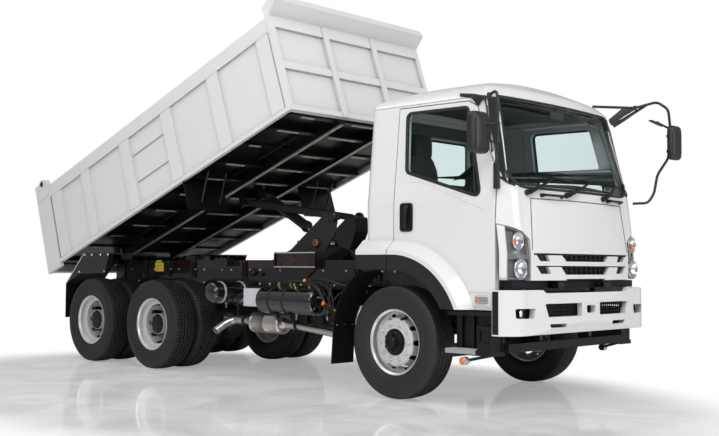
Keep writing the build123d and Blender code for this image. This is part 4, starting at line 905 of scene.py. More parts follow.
face = [column(y, lamp_top(y) - 0.006, 14) for y in [0.815 + (1.050 - 0.815) * i / 14 for i in range(15)]]
side_strip = [column(y, 1.494 + (y - 0.900) / 3.0, 16)
              for y in (1.048, 1.056, 1.064, 1.072, 1.078, 1.083, 1.087, 1.0895)]
ring = [(sin(2 * pi * k / 40), cos(2 * pi * k / 40)) for k in range(40)]
covers, filler = Shape(), Shape()
for side_name, side in both_sides:
    housing, bowls, bulbs = Shape(), Shape(), Shape()
    covers.grid([[lamp_point(side, y, z, 0.003) for y, z in row] for row in face])
    housing.grid([[lamp_point(side, y, z, 0.046) for y, z in row] for row in face])
    bar = [lamp_left + lamp_wide * k / 8 for k in range(9)]
    for z in (1.105, 1.270, 1.300):
        housing.tube([lamp_point(side, y, z, 0.014) for y in bar], 0.007, 8)
    housing.grid([[lamp_point(side, y, z, 0.012) for z in (1.270, 1.300)] for y in bar])
    for y, top in ((lamp_left, 1.43), (lamp_left + lamp_wide, 1.545)):
        housing.tube([lamp_point(side, y, 1.1 + (top - 1.1) * k / 10, 0.012) for k in range(11)], 0.008, 8)
    rim = [0.825 + 0.219 * k / 8 for k in range(9)]
    housing.tube([lamp_point(side, y, min(1.436 + (y - 0.812) * 0.727, 1.500 + (y - 0.9) / 3) - 0.012, 0.012)
                  for y in rim], 0.008, 8)
    filler.grid([[lamp_point(side, y, z, 0.0) for y, z in row] for row in side_strip])
    for y, z, wide, tall in ((0.948, 1.418, 0.074, 0.072), (0.935, 1.182, 0.086, 0.084)):
        middle = lamp_point(side, y, z, 0.006)
        bowls.grid([[middle + Vector((-0.038 * (1 - r ** 2), wide * r * u, tall * r * w))
                     for r in (1.0, 0.85, 0.7, 0.5, 0.3, 0.12)] for u, w in ring], close_rows=True)
        bowls.tube([middle + Vector((0.0, wide * u, tall * w)) for u, w in ring], 0.005, 8, closed=True)
    bulbs.ball(lamp_point(side, 0.975, 1.408, 0.020), 0.022, (1, 1, 1.1))
    housing.done(f"headlamp_housing_{side_name}", bezel_grey, "cab", "trim_black")
    bowls.done(f"headlamp_bowls_{side_name}", reflector, "cab", "lamp", smooth=60)
    bulbs.done(f"headlamp_bulb_{side_name}", amber, "cab", "lamp")
filler.done("headlamp_side_panels", cab_white, "cab", "cab_white", smooth=60, thick=0.002)
cover = covers.done("headlamp_covers", lens_clear, "cab", "lamp", smooth=60)
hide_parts("headlamps")
print("headlamps on both sides")

# %% [markdown]
# Behind the grille's slots stand dark fins and one bar.  Below, the bumper holds fog lamps
# and a mesh behind its air openings.

# %% Grille and bumper details
fins = Shape()
slot_half, fin_count = 0.36, 9
for low, high in ((1.250, 1.303), (1.134, 1.203)):  # the two slots' lower and upper edges
    middle = (low + high) / 2
    for k in range(fin_count):
        y = -slot_half + 2 * slot_half * (k + 0.5) / fin_count
        found = mark_front(y, middle, 0.0, ["grille"])
        if found:
            fins.box((found.x - 0.004, y - 0.004, low + 0.002), (found.x + 0.016, y + 0.004, high - 0.002))
    bar = on_front([(-slot_half + 2 * slot_half * k / 16, middle) for k in range(17)], 0.012, ["grille"])
    fins.tube(bar, 0.005, 8, flat=0.6)
fins.done("grille_fins", trim_black, "cab", "trim_black", bevel=0.0008)
ends = Shape()
low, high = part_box("front_bumper")
for side in (-1, 1):
    rows = []
    for i in range(7):
        x = low.x + 0.004 + 0.062 * i / 6
        heights = [low.z + 0.012 + (high.z - low.z - 0.024) * j / 8 for j in range(9)]
        row = [mark_side(side, x, z, 0.0012, ["front_bumper"]) for z in heights]
        if all(row):
            rows.append(row)
    ends.grid(rows)
ends.done("bumper_dark_ends", trim_black, "chassis", "trim_black")
fog, fog_case, mesh_back = Shape(), Shape(), Shape()
for side in (-1, 1):
    middle = at(1.225, side * 0.925, 0.809)
    fog_case.turn([(0.030, -0.03), (0.046, 0.0), (0.046, 0.014), (0.039, 0.016), (0.037, 0.002)], middle,
                  (1, 0, 0), 36)
    fog_case.box(at(1.150, side * 0.930 - 0.120, 0.755), at(1.160, side * 0.930 + 0.120, 0.862))
    fog.turn([(0.038, 0.004), (0.030, 0.010), (0.0, 0.014)], middle, (1, 0, 0), 36)
    for k in range(15):
        y = side * (0.160 + 0.036 * k)
        mesh_back.tube([at(1.262, y, 0.770), at(1.262, y, 0.890)], 0.005, 6)
    for z in (0.800, 0.830, 0.860):
        mesh_back.tube([at(1.266, side * 0.150, z), at(1.262, side * 0.690, z)], 0.004, 6)
fog_case.done("fog_lamp_cases", trim_black, "chassis", "trim_black", bevel=0.0008)
fog.done("fog_lamps", reflector, "chassis", "lamp", smooth=60)
mesh_back.done("bumper_mesh", trim_black, "chassis", "trim_black")

# %% [markdown]
# Three wipers rest along the foot of the windscreen, and two grab handles stand between them.

# %% Wipers and grab handles
wiper, grab = Shape(), Shape()
front_faces = ["cab_front", "cab_sides", "cab_glass"]
# foot, elbow, and the blade's two ends across the truck
for start, elbow, tip_low, tip_high in ((-0.79, -0.38, -0.62, -0.13), (-0.24, 0.22, -0.03, 0.52),
                                        (0.39, 0.73, 0.47, 0.83)):
    foot = mark_front(start, 1.834, 0.012, front_faces)
    joint = mark_front(elbow, 1.975, 0.030, front_faces)
    wiper.turn([(0.0, 0.030), (0.018, 0.028), (0.024, 0.010), (0.024, -0.012)], foot, (1, 0, 0.3), 24)
    wiper.tube([foot + Vector((0.022, 0, 0)), foot.lerp(joint, 0.45) + Vector((0.024, 0, 0.0)), joint],
               [0.020, 0.014, 0.008], 10)
    blade = [mark_front(tip_low + (tip_high - tip_low) * k / 10,
                        1.985 - 0.02 * k / 10 + 0.008 * sin(pi * k / 10), 0.012, front_faces)
             for k in range(11)]
    wiper.tube([p for p in blade if p], 0.008, 8)
    wiper.tube([p + Vector((0.010, 0, 0.004)) for p in blade[2:9] if p], 0.006, 8)
wiper.done("wipers", trim_black, "cab", "trim_black")
for low, high in ((-0.60, -0.31), (0.48, 0.74)):
    a, b = [mark_front(y, 1.818, 0.0, front_faces) for y in (low, high)]
    lift = Vector((0.030, 0, 0.004))
    grab.tube([a, a + lift, a.lerp(b, 0.15) + lift * 1.25, a.lerp(b, 0.85) + lift * 1.25, b + lift, b],
              [0.020, 0.017, 0.012, 0.012, 0.017, 0.020], 10, flat=0.8)
grab.done("grab_handles", trim_black, "cab", "trim_black")
print("wipers and handles")

# %% [markdown]
# The mirrors hang on bent tubes from the roof's edge: a tall housing on each side, and on the
# left a small dish that looks down past the nose.

# %% Mirrors
mirror_black = surface("mirror_black", (0.020, 0.020, 0.022), 0.38, grain=1100, vary=0.15, depth=0.00015)
mirror_face = surface("mirror_face", (0.75, 0.78, 0.80), 0.03, metal=1.0, grain=40, vary=0.02, depth=0.00001)
tubes = [
    [(0.640, -0.985, 2.700), (0.800, -1.010, 2.674), (0.940, -1.022, 2.640), (1.065, -1.150, 2.640),
     (1.137, -1.150, 2.672), (1.157, -1.150, 2.600), (1.157, -1.150, 2.337), (1.147, -1.150, 2.171),
     (1.107, -1.108, 2.048), (1.107, -1.108, 1.890)],
    [(0.850, 0.850, 2.800), (1.234, 1.000, 2.764), (1.389, 1.150, 2.825), (1.450, 1.262, 2.760),
     (1.455, 1.290, 2.587), (1.435, 1.290, 2.282), (1.340, 1.240, 2.117), (1.325, 1.200, 1.930),
     (1.285, 1.150, 1.835), (1.170, 1.060, 1.830)],
]


def smooth_path(points, steps=6):
    """A line bent gently through corner points, each corner cut by a short curve."""
    points = [Vector(p) for p in points]
    made = [points[0]]
    for before, p, after in zip(points, points[1:], points[2:]):
        reach = min(0.045, 0.4 * (p - before).length, 0.4 * (after - p).length)
        a, b = p + (before - p).normalized() * reach, p + (after - p).normalized() * reach
        for t in [k / steps for k in range(steps + 1)]:
            made.append((1 - t) ** 2 * a + 2 * t * (1 - t) * p + t * t * b)
    return made + [points[-1]]


def all_at(points):
    """Several points, each measured forward from the front axle."""
    return [at(*p) for p in points]


square = [(-1, -1), (1, -1), (1, 1), (-1, 1)]


def housing_shape(shape, low, high):
    """A rounded mirror housing, fuller at its middle, with a shallow rim round the glass."""
    middle, size = (low + high) / 2, (high - low) / 2
    outline = rounded(square, 0.42, 7)
    rows = []
    for depth, share in ((-1.0, 0.90), (-0.93, 0.965), (-0.8, 0.99), (-0.2, 1.0), (0.35, 0.985),
                         (0.68, 0.93), (0.88, 0.80), (0.97, 0.60), (1.0, 0.30), (1.0, 0.01)):
        rows.append([middle + Vector((size.x * depth, size.y * p.x * share, size.z * p.y * share))
                     for p in outline])
    shape.grid(rows, close_columns=True)


# each mirror's lower and upper corner, and the place of the tube that holds it
heads = [((1.005, -1.385, 2.140), (1.105, -1.165, 2.490), (1.157, -1.150)),
         ((1.475, 1.175, 2.255), (1.550, 1.365, 2.590), (1.435, 1.290))]
mirror, glass = Shape(), Shape()
for points, (low, high, (tube_x, tube_y)) in zip(tubes, heads):
    mirror.tube(all_at(smooth_path(points)), 0.013, 12)
    housing_shape(mirror, at(*low), at(*high))
    middle, size = (Vector(low) + Vector(high)) / 2, (Vector(high) - Vector(low)) / 2
    glass.plate([at(low[0] - 0.0005, middle.y + size.y * 0.86 * p.x, middle.z + size.z * 0.88 * p.y)
                 for p in rounded(square, 0.38, 7)], (0.002, 0, 0))
    for z in (middle.z - 0.075, middle.z + 0.075):
        mirror.tube([at(tube_x, tube_y, z), at(middle.x + 0.01, middle.y, z)], 0.011, 8)
        mirror.turn([(0.020, -0.014), (0.020, 0.014)], at(tube_x, tube_y, z), (0, 0, 1), 16)
print("two mirrors on bent tubes")

# %% Mirror brackets and the small mirrors
# roof brackets, as a boss and a gusset, and the lower clamp on the right corner
mirror.tube(all_at([(1.310, 1.080, 2.790), (1.200, 1.020, 2.715), (1.110, 0.975, 2.650),
                    (1.030, 0.930, 2.600)]), [0.012, 0.016, 0.020, 0.026], 10, flat=0.7)
cap = along(rounded([(-1.275, 2.290), (-1.180, 2.290), (-1.180, 2.370), (-1.275, 2.370)], 0.016), 0.02)
mirror.tube([at(1.1065, p.x, p.y) for p in cap], 0.003, 6, closed=True)
mirror.tube(all_at([(0.640, -0.985, 2.705), (0.800, -1.006, 2.682), (0.940, -1.022, 2.648)]),
            [0.024, 0.022, 0.018], 10, flat=0.7)
mirror.plate(all_at([(0.760, -1.000, 2.690), (0.900, -1.018, 2.655), (0.860, -1.012, 2.590),
                     (0.838, -1.010, 2.590)]), (0.004, -0.014, 0))
mirror.tube(all_at([(1.010, 0.905, 2.625), (1.234, 1.000, 2.764)]), 0.016, 10)
mirror.plate(all_at([(0.99, 0.915, 2.66), (1.11, 0.955, 2.760), (1.225, 0.995, 2.750), (1.02, 0.915, 2.60)]),
             (0.006, -0.012, 0))
for x, y, z in ((1.234, 1.000, 2.764), (1.065, -1.150, 2.640), (0.800, -1.010, 2.674)):
    mirror.turn([(0.0, 0.024), (0.018, 0.022), (0.021, 0.010), (0.021, -0.022), (0.0, -0.024)],
                at(x, y, z), (0.2, 0, 1), 20)
clamp = rounded([(1.092, 1.850), (1.135, 1.850), (1.128, 2.070), (1.092, 2.070)], 0.012)
mirror.plate([at(p.x, -1.088, p.y) for p in clamp], (0, -0.040, 0))
# the nose mirror's dish with its arm
dish, dish_aim = at(1.380, 1.130, 2.608), Vector((0.45, 0.1, 0.88)).normalized()
mirror.turn([(0.0, 0.024), (0.040, 0.023), (0.062, 0.016), (0.072, 0.004), (0.0735, -0.001), (0.070, -0.002)],
            dish, dish_aim, 40)
glass.turn([(0.0, -0.006), (0.035, -0.005), (0.069, -0.001)], dish, dish_aim, 40)
mirror.tube(all_at([(1.455, 1.275, 2.570), (1.430, 1.215, 2.590), (1.388, 1.140, 2.628)]), 0.011, 8)
whole = mirror.done("mirror_frames", mirror_black, "cab", "trim_black", smooth=50)
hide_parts("mirrors")
glass.done("mirror_glass", mirror_face, "cab", "trim_black")
inside = Shape()
inside.turn([(0.0, 0.012), (0.040, 0.010), (0.056, 0.004), (0.060, -0.006), (0.0, -0.008)],
            at(1.06, 0.52, 2.600), (0.5, -0.1, -0.8), 36)
inside.tube([at(1.06, 0.52, 2.605), at(1.055, 0.52, 2.660)], 0.008, 8)
inside.box(at(0.985, -0.13, 2.560), at(1.000, 0.09, 2.620))
inside.tube([at(0.995, -0.02, 2.615), at(1.020, -0.02, 2.665)], 0.008, 8)
inside.done("inside_mirror", inner_dark, "cab", "trim_black", bevel=0.003)
print("mirrors finished")

# %% [markdown]
# The roof is one pressing, crowned to its middle and drawn down at its four corners.  The CAD
# roof is copied, filled with small cells, pulled to that crown and smoothed above its rim.

# %% Roof skin
roof = bpy.data.objects.new("roof_skin", nodes["cab_roof"].data.copy())
scene.collection.objects.link(roof)
cells = roof.modifiers.new("cells", "REMESH")
cells.mode = "VOXEL"
cells.voxel_size = 0.013
bpy.context.view_layer.update()
dense = bpy.data.meshes.new_from_object(roof.evaluated_get(bpy.context.evaluated_depsgraph_get()))
roof.modifiers.clear()
roof.data = dense
bm = bmesh.new()
bm.from_mesh(dense)
middle_x, long_half, wide_half = axle_x + 0.250, 0.760, 1.000
rim_z, smooth_above, rise_height = 2.700, 2.706, 0.150
for v in bm.verts:
    h = max(0.0, min(1.0, (v.co.z - rim_z) / rise_height))
    u, w = (v.co.x - middle_x) / long_half, v.co.y / wide_half
    crown, corner = 0.048 * (1 - w * w) * (1 - 0.45 * u * u), 0.034 * w ** 4
    v.co.z += h * (crown - corner - 0.030 * w ** 4 * max(0.0, -u) ** 2)
    v.co.x -= h ** 1.5 * (0.060 * u * u + 0.100 * u * u * w * w) * (1 if u > 0 else -0.6)
    v.co.y -= h * h * 0.060 * v.co.y
for _ in range(30):
    bmesh.ops.smooth_vert(bm, verts=[v for v in bm.verts if v.co.z > smooth_above], factor=0.5,
                          use_axis_x=True, use_axis_y=True, use_axis_z=True)
bm.to_mesh(dense)
bm.free()
for polygon in dense.polygons:
    polygon.use_smooth = True
dense.materials.clear()
dense.materials.append(cab_white)
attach(roof, "cab")
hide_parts("cab_roof")
print("roof skin", len(dense.polygons), "faces, top", max(v.co.z for v in dense.vertices))

# %% [markdown]
# Through the glass the cabin shows grey trim, two cloth seats with headrests, a steering wheel
# and a dark shelf.  The seats are stuffed pads, so they swell between their seams.

# %% Seats
def cushion(name, low, high, round_share, crown):
    """A stuffed pad: a box of many cells pushed out at its middle and pulled in at its corners."""
    middle, size = (low + high) / 2, (high - low) / 2
    bm = bmesh.new()
    bmesh.ops.create_cube(bm, size=2)
    bmesh.ops.subdivide_edges(bm, edges=bm.edges, cuts=11, use_grid_fill=True)
    for v in bm.verts:
        p = v.co.copy()
        keep = [(1 - abs(a) ** 4 * round_share) for a in p]
        q = Vector((p.x * (keep[1] * keep[2]) ** 0.5, p.y * (keep[0] * keep[2]) ** 0.5,
                    p.z * (keep[0] * keep[1]) ** 0.5))
        swell = 1 + crown * (1 - p.x ** 2) * (1 - p.y ** 2) + crown * (1 - p.y ** 2) * (1 - p.z ** 2)
        seam = 1 - 0.05 * max(0.0, 1 - abs(abs(p.y) - 0.6) / 0.06)
        q *= min(swell, 1 + crown) * seam / (1 + crown)
        v.co = middle + Vector((q.x * size.x, q.y * size.y, q.z * size.z))
    mesh = bpy.data.meshes.new(name)
    bm.to_mesh(mesh)
    bm.free()
    pad = bpy.data.objects.new(name, mesh)
    scene.collection.objects.link(pad)
    mesh.materials.append(seat_cloth)
    for polygon in mesh.polygons:
        polygon.use_smooth = True
    pad.modifiers.new("smooth", "SUBSURF").levels = 1
    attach(pad, "cab")
    return pad


for side_name, side in both_sides:
    y = side * 0.480
    base = cushion(f"seat_base_{side_name}", at(-0.180, y - 0.250, 1.520), at(0.320, y + 0.250, 1.640),
                   0.25, 0.06)
    cushion(f"seat_back_{side_name}", at(-0.320, y - 0.245, 1.600), at(-0.190, y + 0.245, 2.290), 0.35, 0.06)
    cushion(f"headrest_{side_name}", at(-0.318, y - 0.145, 2.215), at(-0.205, y + 0.145, 2.500), 0.24, 0.05)
    frame_part = Shape()
    for dy in (-0.06, 0.06):
        frame_part.tube([at(-0.262, y + dy, 2.12), at(-0.262, y + dy, 2.25)], 0.007, 8)
    frame_part.box(at(-0.120, y - 0.200, 1.262), at(0.260, y + 0.200, 1.515))
    frame_part.done(f"seat_frame_{side_name}", inner_dark, "cab", "seat", bevel=0.01)
    if side < 0:
        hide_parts("seats")
print("two padded seats")

# %% Cabin lining and dashboard
trim, ceiling = Shape(), []
# panels of the back wall: their lower edge, then their upper edge
for y0, y1, z0, y2, y3, z1 in ((-0.98, 0.98, 1.27, -0.96, 0.96, 1.98),
                               (-0.95, -0.50, 1.98, -0.95 * 0.97, -0.50 * 0.97, 2.62),
                               (0.50, 0.95, 1.98, 0.50 * 0.97, 0.95 * 0.97, 2.62),
                               (-0.50, 0.50, 2.50, -0.50, 0.50, 2.62)):
    trim.plate(all_at([(-0.390, y0, z0), (-0.390, y1, z0), (-0.390, y3, z1), (-0.390, y2, z1)]), (0.006, 0, 0))
for i in range(13):
    arch = 0.055 * sin(pi * min(1.0, (i + 2) / 12))
    ceiling.append([at(-0.36 + 1.14 * i / 12, -0.84 + 1.68 * j / 10, 2.700 + arch - 0.05 * (-1 + j / 5) ** 2)
                    for j in range(11)])
trim.grid(ceiling)
trim.box(at(0.30, -0.45, 2.640), at(0.72, 0.45, 2.660))
trim.done("cabin_lining", inner_grey, "cab", "trim_black", thick=0.004)
dash = Shape()
dash.tube([at(0.86, -0.86 + 1.72 * k / 12, 1.790 + 0.03 * sin(pi * k / 12)) for k in range(13)], 0.045, 12,
          flat=0.6, up=(0, 0, 1))
dash.plate(all_at([(0.80, -0.72, 1.80), (0.80, -0.24, 1.80), (0.83, -0.30, 1.90), (0.83, -0.66, 1.90)]),
           (0.14, 0, -0.02))
dash.tube(all_at([(0.80, 0.05, 1.55), (0.70, 0.05, 1.80), (0.69, 0.05, 1.92)]), [0.012, 0.010, 0.022], 10)
dash.done("dashboard_details", inner_dark, "cab", "trim_black", bevel=0.006)
for name in ("dashboard", "cab_floor"):
    finish(name, inner_dark)
print("cabin lined")

# %% [markdown]
# The bed is welded steel in satin off-white.  Flat stiffeners cross one side bay, weld beads
# run beside each post, and tan strips on the black underside's lower flanges are painted highlights.

# %% Bed details
bed_pivot = at(-5.532, 0, 1.235)
run, rise = Vector((cos(tilt), 0, sin(tilt))), Vector((-sin(tilt), 0, cos(tilt)))


def bed_at(s, y, t):
    """A point of the bed's own frame: s along it from the side rails' rear end, t square to its floor."""
    return bed_pivot + run * (s - 0.261) + rise * (t + 0.085) + Vector((0, y, 0))


# painted highlight: light tan strips along the black underside's lower flanges
flange_highlight = surface("flange_highlight", (0.62, 0.53, 0.44), 0.45, metal=0.2, grain=14, vary=1.1, depth=0.0003)
weld_white = surface("weld_white", (0.66, 0.65, 0.63), 0.45, coat=0.2, grain=700, vary=0.05, depth=0.0008)
posts = [(0.040, 0.280), (0.790, 0.990), (1.710, 1.920), (2.600, 2.810), (3.510, 3.720), (4.400, 4.600)]
post_ends = (0.050, 0.908)
creases, welds, edges = Shape(), Shape(), Shape()
for side in (-1, 1):
    panel_y = side * 1.148
    for t in (0.330, 0.670):
        # the black cord along each crease is painted shade in its fold
        creases.tube([bed_at(s, panel_y, t) for s in (1.925, 2.595)], 0.0035, 6)
        welds.tube([bed_at(s, panel_y + side * 0.0015, t - 0.012) for s in (1.925, 2.595)], 0.007, 8,
                   flat=0.45, up=(0, 1, 0))
    for start, end in posts:
        for s in (start, end):
            welds.tube([bed_at(s, panel_y, t) for t in post_ends], 0.005, 8)
        for t in post_ends:
            welds.tube([bed_at(s, side * 1.170, t) for s in (start, end)], 0.0035, 6)
    welds.tube([bed_at(s, side * 1.171, 0.940) for s in (-0.325, -0.010)], 0.005, 8, flat=0.6)
    for s in (0.008, 4.612):
        welds.tube([bed_at(s, side * 1.168, t) for t in (0.05, 1.06)], 0.004, 6)
creases.done("bed_creases", gap_black, "bed", "bed_white")
welds.done("bed_welds", weld_white, "bed", "bed_white")
print("creases and welds on the bed's sides")


# %% Painted flange highlights and splash plates' stays
def flange(s0, s1, y0, y1, t, thick):
    """A thin strip of painted highlight on the underside, from its ends along the bed and its edges across it.
    """
    edges.plate([bed_at(s, y, t) for s, y in ((s0, y0), (s1, y0), (s1, y1), (s0, y1))], rise * -thick)


for side in (-1, 1):
    flange(0.33, 4.60, side * 0.347, side * 0.395, -0.0505, 0.0015)
# cross members: place along the bed and height of the lower flange
members = [(0.440, 0.042), (0.870, 0.042), (1.380, -0.010), (1.890, -0.010), (2.400, -0.010), (2.880, -0.010),
           (3.300, -0.010), (3.700, 0.042), (4.200, -0.010), (4.540, -0.010)]
for k, (s, t) in enumerate(members):
    for y0, y1 in ((-0.95, -0.72), (-0.20, 0.16), (0.62, 0.96)):
        y0, y1 = y0 + 0.05 * sin(3.1 * k), y1 + 0.06 * cos(2.3 * k)
        low = min(t, -0.02) if abs(y0) < 0.34 and abs(y1) < 0.34 else t
        flange(s + 0.004, s + 0.038, y0, y1, low - 0.0004, 0.001)
edges.done("worn_flanges", flange_highlight, "bed", "bed_under")
# the splash plates hang on two thin stays each
stays = Shape()
for side in (-1, 1):
    for y in (0.72, 0.98):
        stays.tube([bed_at(2.80, side * y, -0.25), bed_at(3.02, side * y, 0.03)], 0.010, 8)
        stays.nut(bed_at(2.795, side * y, -0.25), -run, 0.018, 0.010)
stays.done("splash_stays", frame_black, "bed", "bed_under")

# %% Pipes and latches
# pipes run under the floor, clipped beside the runners
pipes, clip = Shape(), Vector((0.02, 0.018, 0.02))
for start, y, count, wave in ((0.9, -0.560, 17, 1.3), (1.1, 0.560, 15, 1.7)):
    pipes.tube([bed_at(start + 0.2 * k, y + 0.006 * sin(wave * k), 0.030) for k in range(count)], 0.009, 8)
for s in (1.2, 2.1, 3.0, 3.9):
    place = bed_at(s, -0.560, 0.035)
    pipes.box(place - clip, place + clip)
pipes.done("bed_pipes", trim_black, "bed", "bed_under", bevel=0.001)
bolt_zinc = surface("bolt_zinc", (0.70, 0.69, 0.64), 0.3, metal=0.9, grain=300, vary=0.2, depth=0.0001)
# the tailgate's pins and its lower latch claws
fit = Shape()
for side in (-1, 1):
    fit.turn([(0.0, 0.016), (0.026, 0.014), (0.034, 0.006), (0.034, 0.0)], bed_at(-0.150, side * 1.170, 1.150),
             (0, side, 0), 28)
    fit.tube([bed_at(-0.318, side * 1.145, -0.030), bed_at(-0.352, side * 1.145, 0.020),
              bed_at(-0.345, side * 1.145, 0.085), bed_at(-0.318, side * 1.145, 0.105)],
             [0.020, 0.018, 0.016, 0.012], 10, flat=0.6)
fit.done("tailgate_latches", frame_black, "bed", "bed_under", bevel=0.001)
print("bed finished")

# %% [markdown]
# Under the bed a bell-crank hoist pushes it up: two dark plates with a copper-coloured pin in a
# raised ring, a link, and a cylinder with three bands and a pipe along it.  All are turned or
# swept on the hoist's own axes, so they ride with the arm and the cylinder.

# %% Hoist details
copper = surface("copper", (0.36, 0.16, 0.09), 0.4, metal=0.7, grain=300, vary=0.35, depth=0.0003)
pin_x, pin_z = -2.013, 1.453
pins, rings = Shape(), Shape()
for side in (-1, 1):
    rings.turn([(0.060, 0.0), (0.060, 0.012), (0.052, 0.015), (0.047, 0.012), (0.047, 0.0)],
               at(pin_x, side * 0.200, pin_z), (0, side, 0), 40)
    pins.turn([(0.046, 0.0), (0.046, 0.020), (0.040, 0.024), (0.012, 0.024), (0.010, 0.018), (0.0, 0.018)],
              at(pin_x, side * 0.2055, pin_z), (0, side, 0), 40)
    rings.turn([(0.062, 0.0), (0.062, 0.030), (0.054, 0.038), (0.036, 0.040), (0.034, 0.030), (0.0, 0.030)],
               at(-1.755, side * 0.200, 1.740), (0, side, 0), 40)
    for dx, dz in ((-0.42, -0.06), (-0.30, 0.07), (0.10, -0.20)):
        pins.nut(at(pin_x + dx, side * 0.2005, 1.400 + dz), (0, side, 0), 0.020, 0.010, 0.2)
rings.done("hoist_rings", hoist_grey, "hoist_arm", "hoist_grey", bevel=0.001)
pins.done("hoist_pins", copper, "hoist_arm", "hoist_grey", bevel=0.0006)
tube_work = Shape()
root = at(-3.108, 0, 2.036)
aim = (at(pin_x, 0, pin_z) - root).normalized()
for d, r, w in ((0.100, 0.063, 0.030), (0.470, 0.063, 0.024), (0.820, 0.066, 0.030)):
    tube_work.turn([(0.0585, -w / 2), (r, -w / 2), (r + 0.003, -w / 2 + 0.003), (r + 0.003, w / 2 - 0.003),
                    (r, w / 2), (0.0585, w / 2)], root + aim * d, aim, 40)
tube_work.tube([root + aim * d + Vector((0, -0.072, 0)) for d in (0.12, 0.80)], 0.010, 10)
tube_work.done("cylinder_bands", hoist_grey, "hoist_cylinder", "hoist_grey", bevel=0.001)
print("hoist finished")

# %% [markdown]
# The frame's rails are pressed channels with rows of bolts, clamp brackets for the sub-frame and
# a blank yellow plate.  Faint brown patches on the glossy black web are painted reflections.

# %% Frame fittings
label_yellow = surface("label_yellow", (0.90, 0.72, 0.08), 0.45, grain=300, vary=0.08, depth=0.0001)
brass = surface("brass", (0.40, 0.31, 0.16), 0.35, metal=1.0, grain=300, vary=0.15, depth=0.0001)
hose_black = surface("hose_black", (0.015, 0.015, 0.016), 0.5, grain=700, vary=0.2, depth=0.0003)
zinc_white = surface("zinc_white", (0.72, 0.72, 0.70), 0.35, metal=0.5, grain=300, vary=0.2, depth=0.0001)
bolts, clamps = Shape(), Shape()
rail_y, first_bolt, bolt_gap = 0.4305, -5.45, 0.172
for side in (-1, 1):
    y = side * rail_y
    for k in range(38):
        x = first_bolt + bolt_gap * k
        for z in (0.992, 1.148):
            if (k + (z > 1.1)) % 3:
                bolts.nut(at(x, y, z), (0, side, 0), 0.016, 0.010, 0.4 * k)
    for x in (-4.95, -4.45, -3.935, -2.965, -1.15, -0.85):
        clamps.box(at(x - 0.035, y, 1.06), at(x + 0.035, y + side * 0.012, 1.254))
        for rod_x in (x - 0.022, x + 0.022):
            clamps.tube([at(rod_x, y + side * 0.022, z) for z in (1.045, 1.256)], 0.009, 8)
            for z in (1.06, 1.238):
                clamps.nut(at(rod_x, y + side * 0.012, z), (0, side, 0), 0.020, 0.014)
    for x, z, r in ((-2.805, 1.124, 0.042), (-2.663, 1.103, 0.028)):
        clamps.turn([(r, 0.0), (r, 0.030), (r - 0.008, 0.034), (r - 0.012, 0.020), (0.0, 0.018)], at(x, y, z),
                    (0, side, 0), 32)
    clamps.box(at(-3.44, y, 1.190), at(-3.17, y + side * 0.10, 1.252))
    clamps.box(at(-3.42, y, 1.252), at(-3.19, y + side * 0.09, 1.286))
bolts.done("rail_bolts", nut_steel, "chassis", "frame_black")
clamps.done("frame_clamps", frame_black, "chassis", "frame_black", bevel=0.0015)
print("rail bolts and clamps")

# %% Frame patches, plates and hoist mounts
# painted brown reflections on the glossy web
painted_reflection_brown = surface("painted_reflection_brown", (0.026, 0.011, 0.006), 0.16, coat=0.5, grain=2.0, vary=2.4, depth=0.00003)
reflection_patches = Shape()
for side in (-1, 1):
    for x0, x1 in ((-4.42, -3.98), (-3.89, -3.01), (-2.92, -2.42)):
        reflection_patches.box(at(x0, side * 0.431 - 0.0008, 1.165), at(x1, side * 0.431 + 0.0008, 1.252))
    reflection_patches.box(at(-2.355, side * 0.491 - 0.0008, 1.196), at(-1.732, side * 0.491 + 0.0008, 1.332))
reflection_patches.done("web_patches", painted_reflection_brown, "chassis", "frame_black")
plates = Shape()
plates.box(at(-4.751, -0.434, 1.117), at(-4.564, -0.431, 1.187))
plates.box(at(-4.751, -0.4345, 1.190), at(-4.564, -0.431, 1.230))
plates.box(at(-4.728, -0.4345, 1.236), at(-4.611, -0.431, 1.258))
plates.done("blank_plates", label_yellow, "chassis", "frame_black", bevel=0.001)
# sub-frame mount beside the hoist: a framed side plate; the light lips along its top and foot are painted
# highlights
mount, lip_highlight = Shape(), Shape()
for side in (-1, 1):
    y = side * 0.490
    for z in (1.180, 1.335):
        lip_highlight.box(at(-2.375, y, z), at(-1.715, y + side * 0.022, z + 0.012))
    for x in (-2.375, -1.727):
        mount.box(at(x, y, 1.185), at(x + 0.014, y + side * 0.020, 1.345))
    for x in (-2.28, -2.045, -1.82):
        mount.nut(at(x, y, 1.300), (0, side, 0), 0.026, 0.016, 0.2)
        mount.nut(at(x, y, 1.220), (0, side, 0), 0.022, 0.014, 0.5)
    corners = ((-2.30, 1.170), (-2.16, 1.070), (-1.90, 1.070), (-1.76, 1.170))
    mount.plate([at(x, side * 0.44, z) for x, z in corners], (0, side * 0.008, 0))
mount.done("hoist_mount_fittings", frame_black, "chassis", "frame_black", bevel=0.001)
lip_highlight.done("hoist_mount_lips", zinc_white, "chassis", "frame_black", bevel=0.002)
print("patches, plates and mounts")

# %% [markdown]
# Compressed air is kept in two black tanks on steel bands.  The short one lies across the
# truck, the long one along it.  Their domed ends are turned from a profile, as they are spun.

# %% Air tanks
def band(inner, outer, half):
    """The section of a flat band round a tube: its two radii and half its width."""
    return [(inner, -half), (outer, -half), (outer, half), (inner, half)]


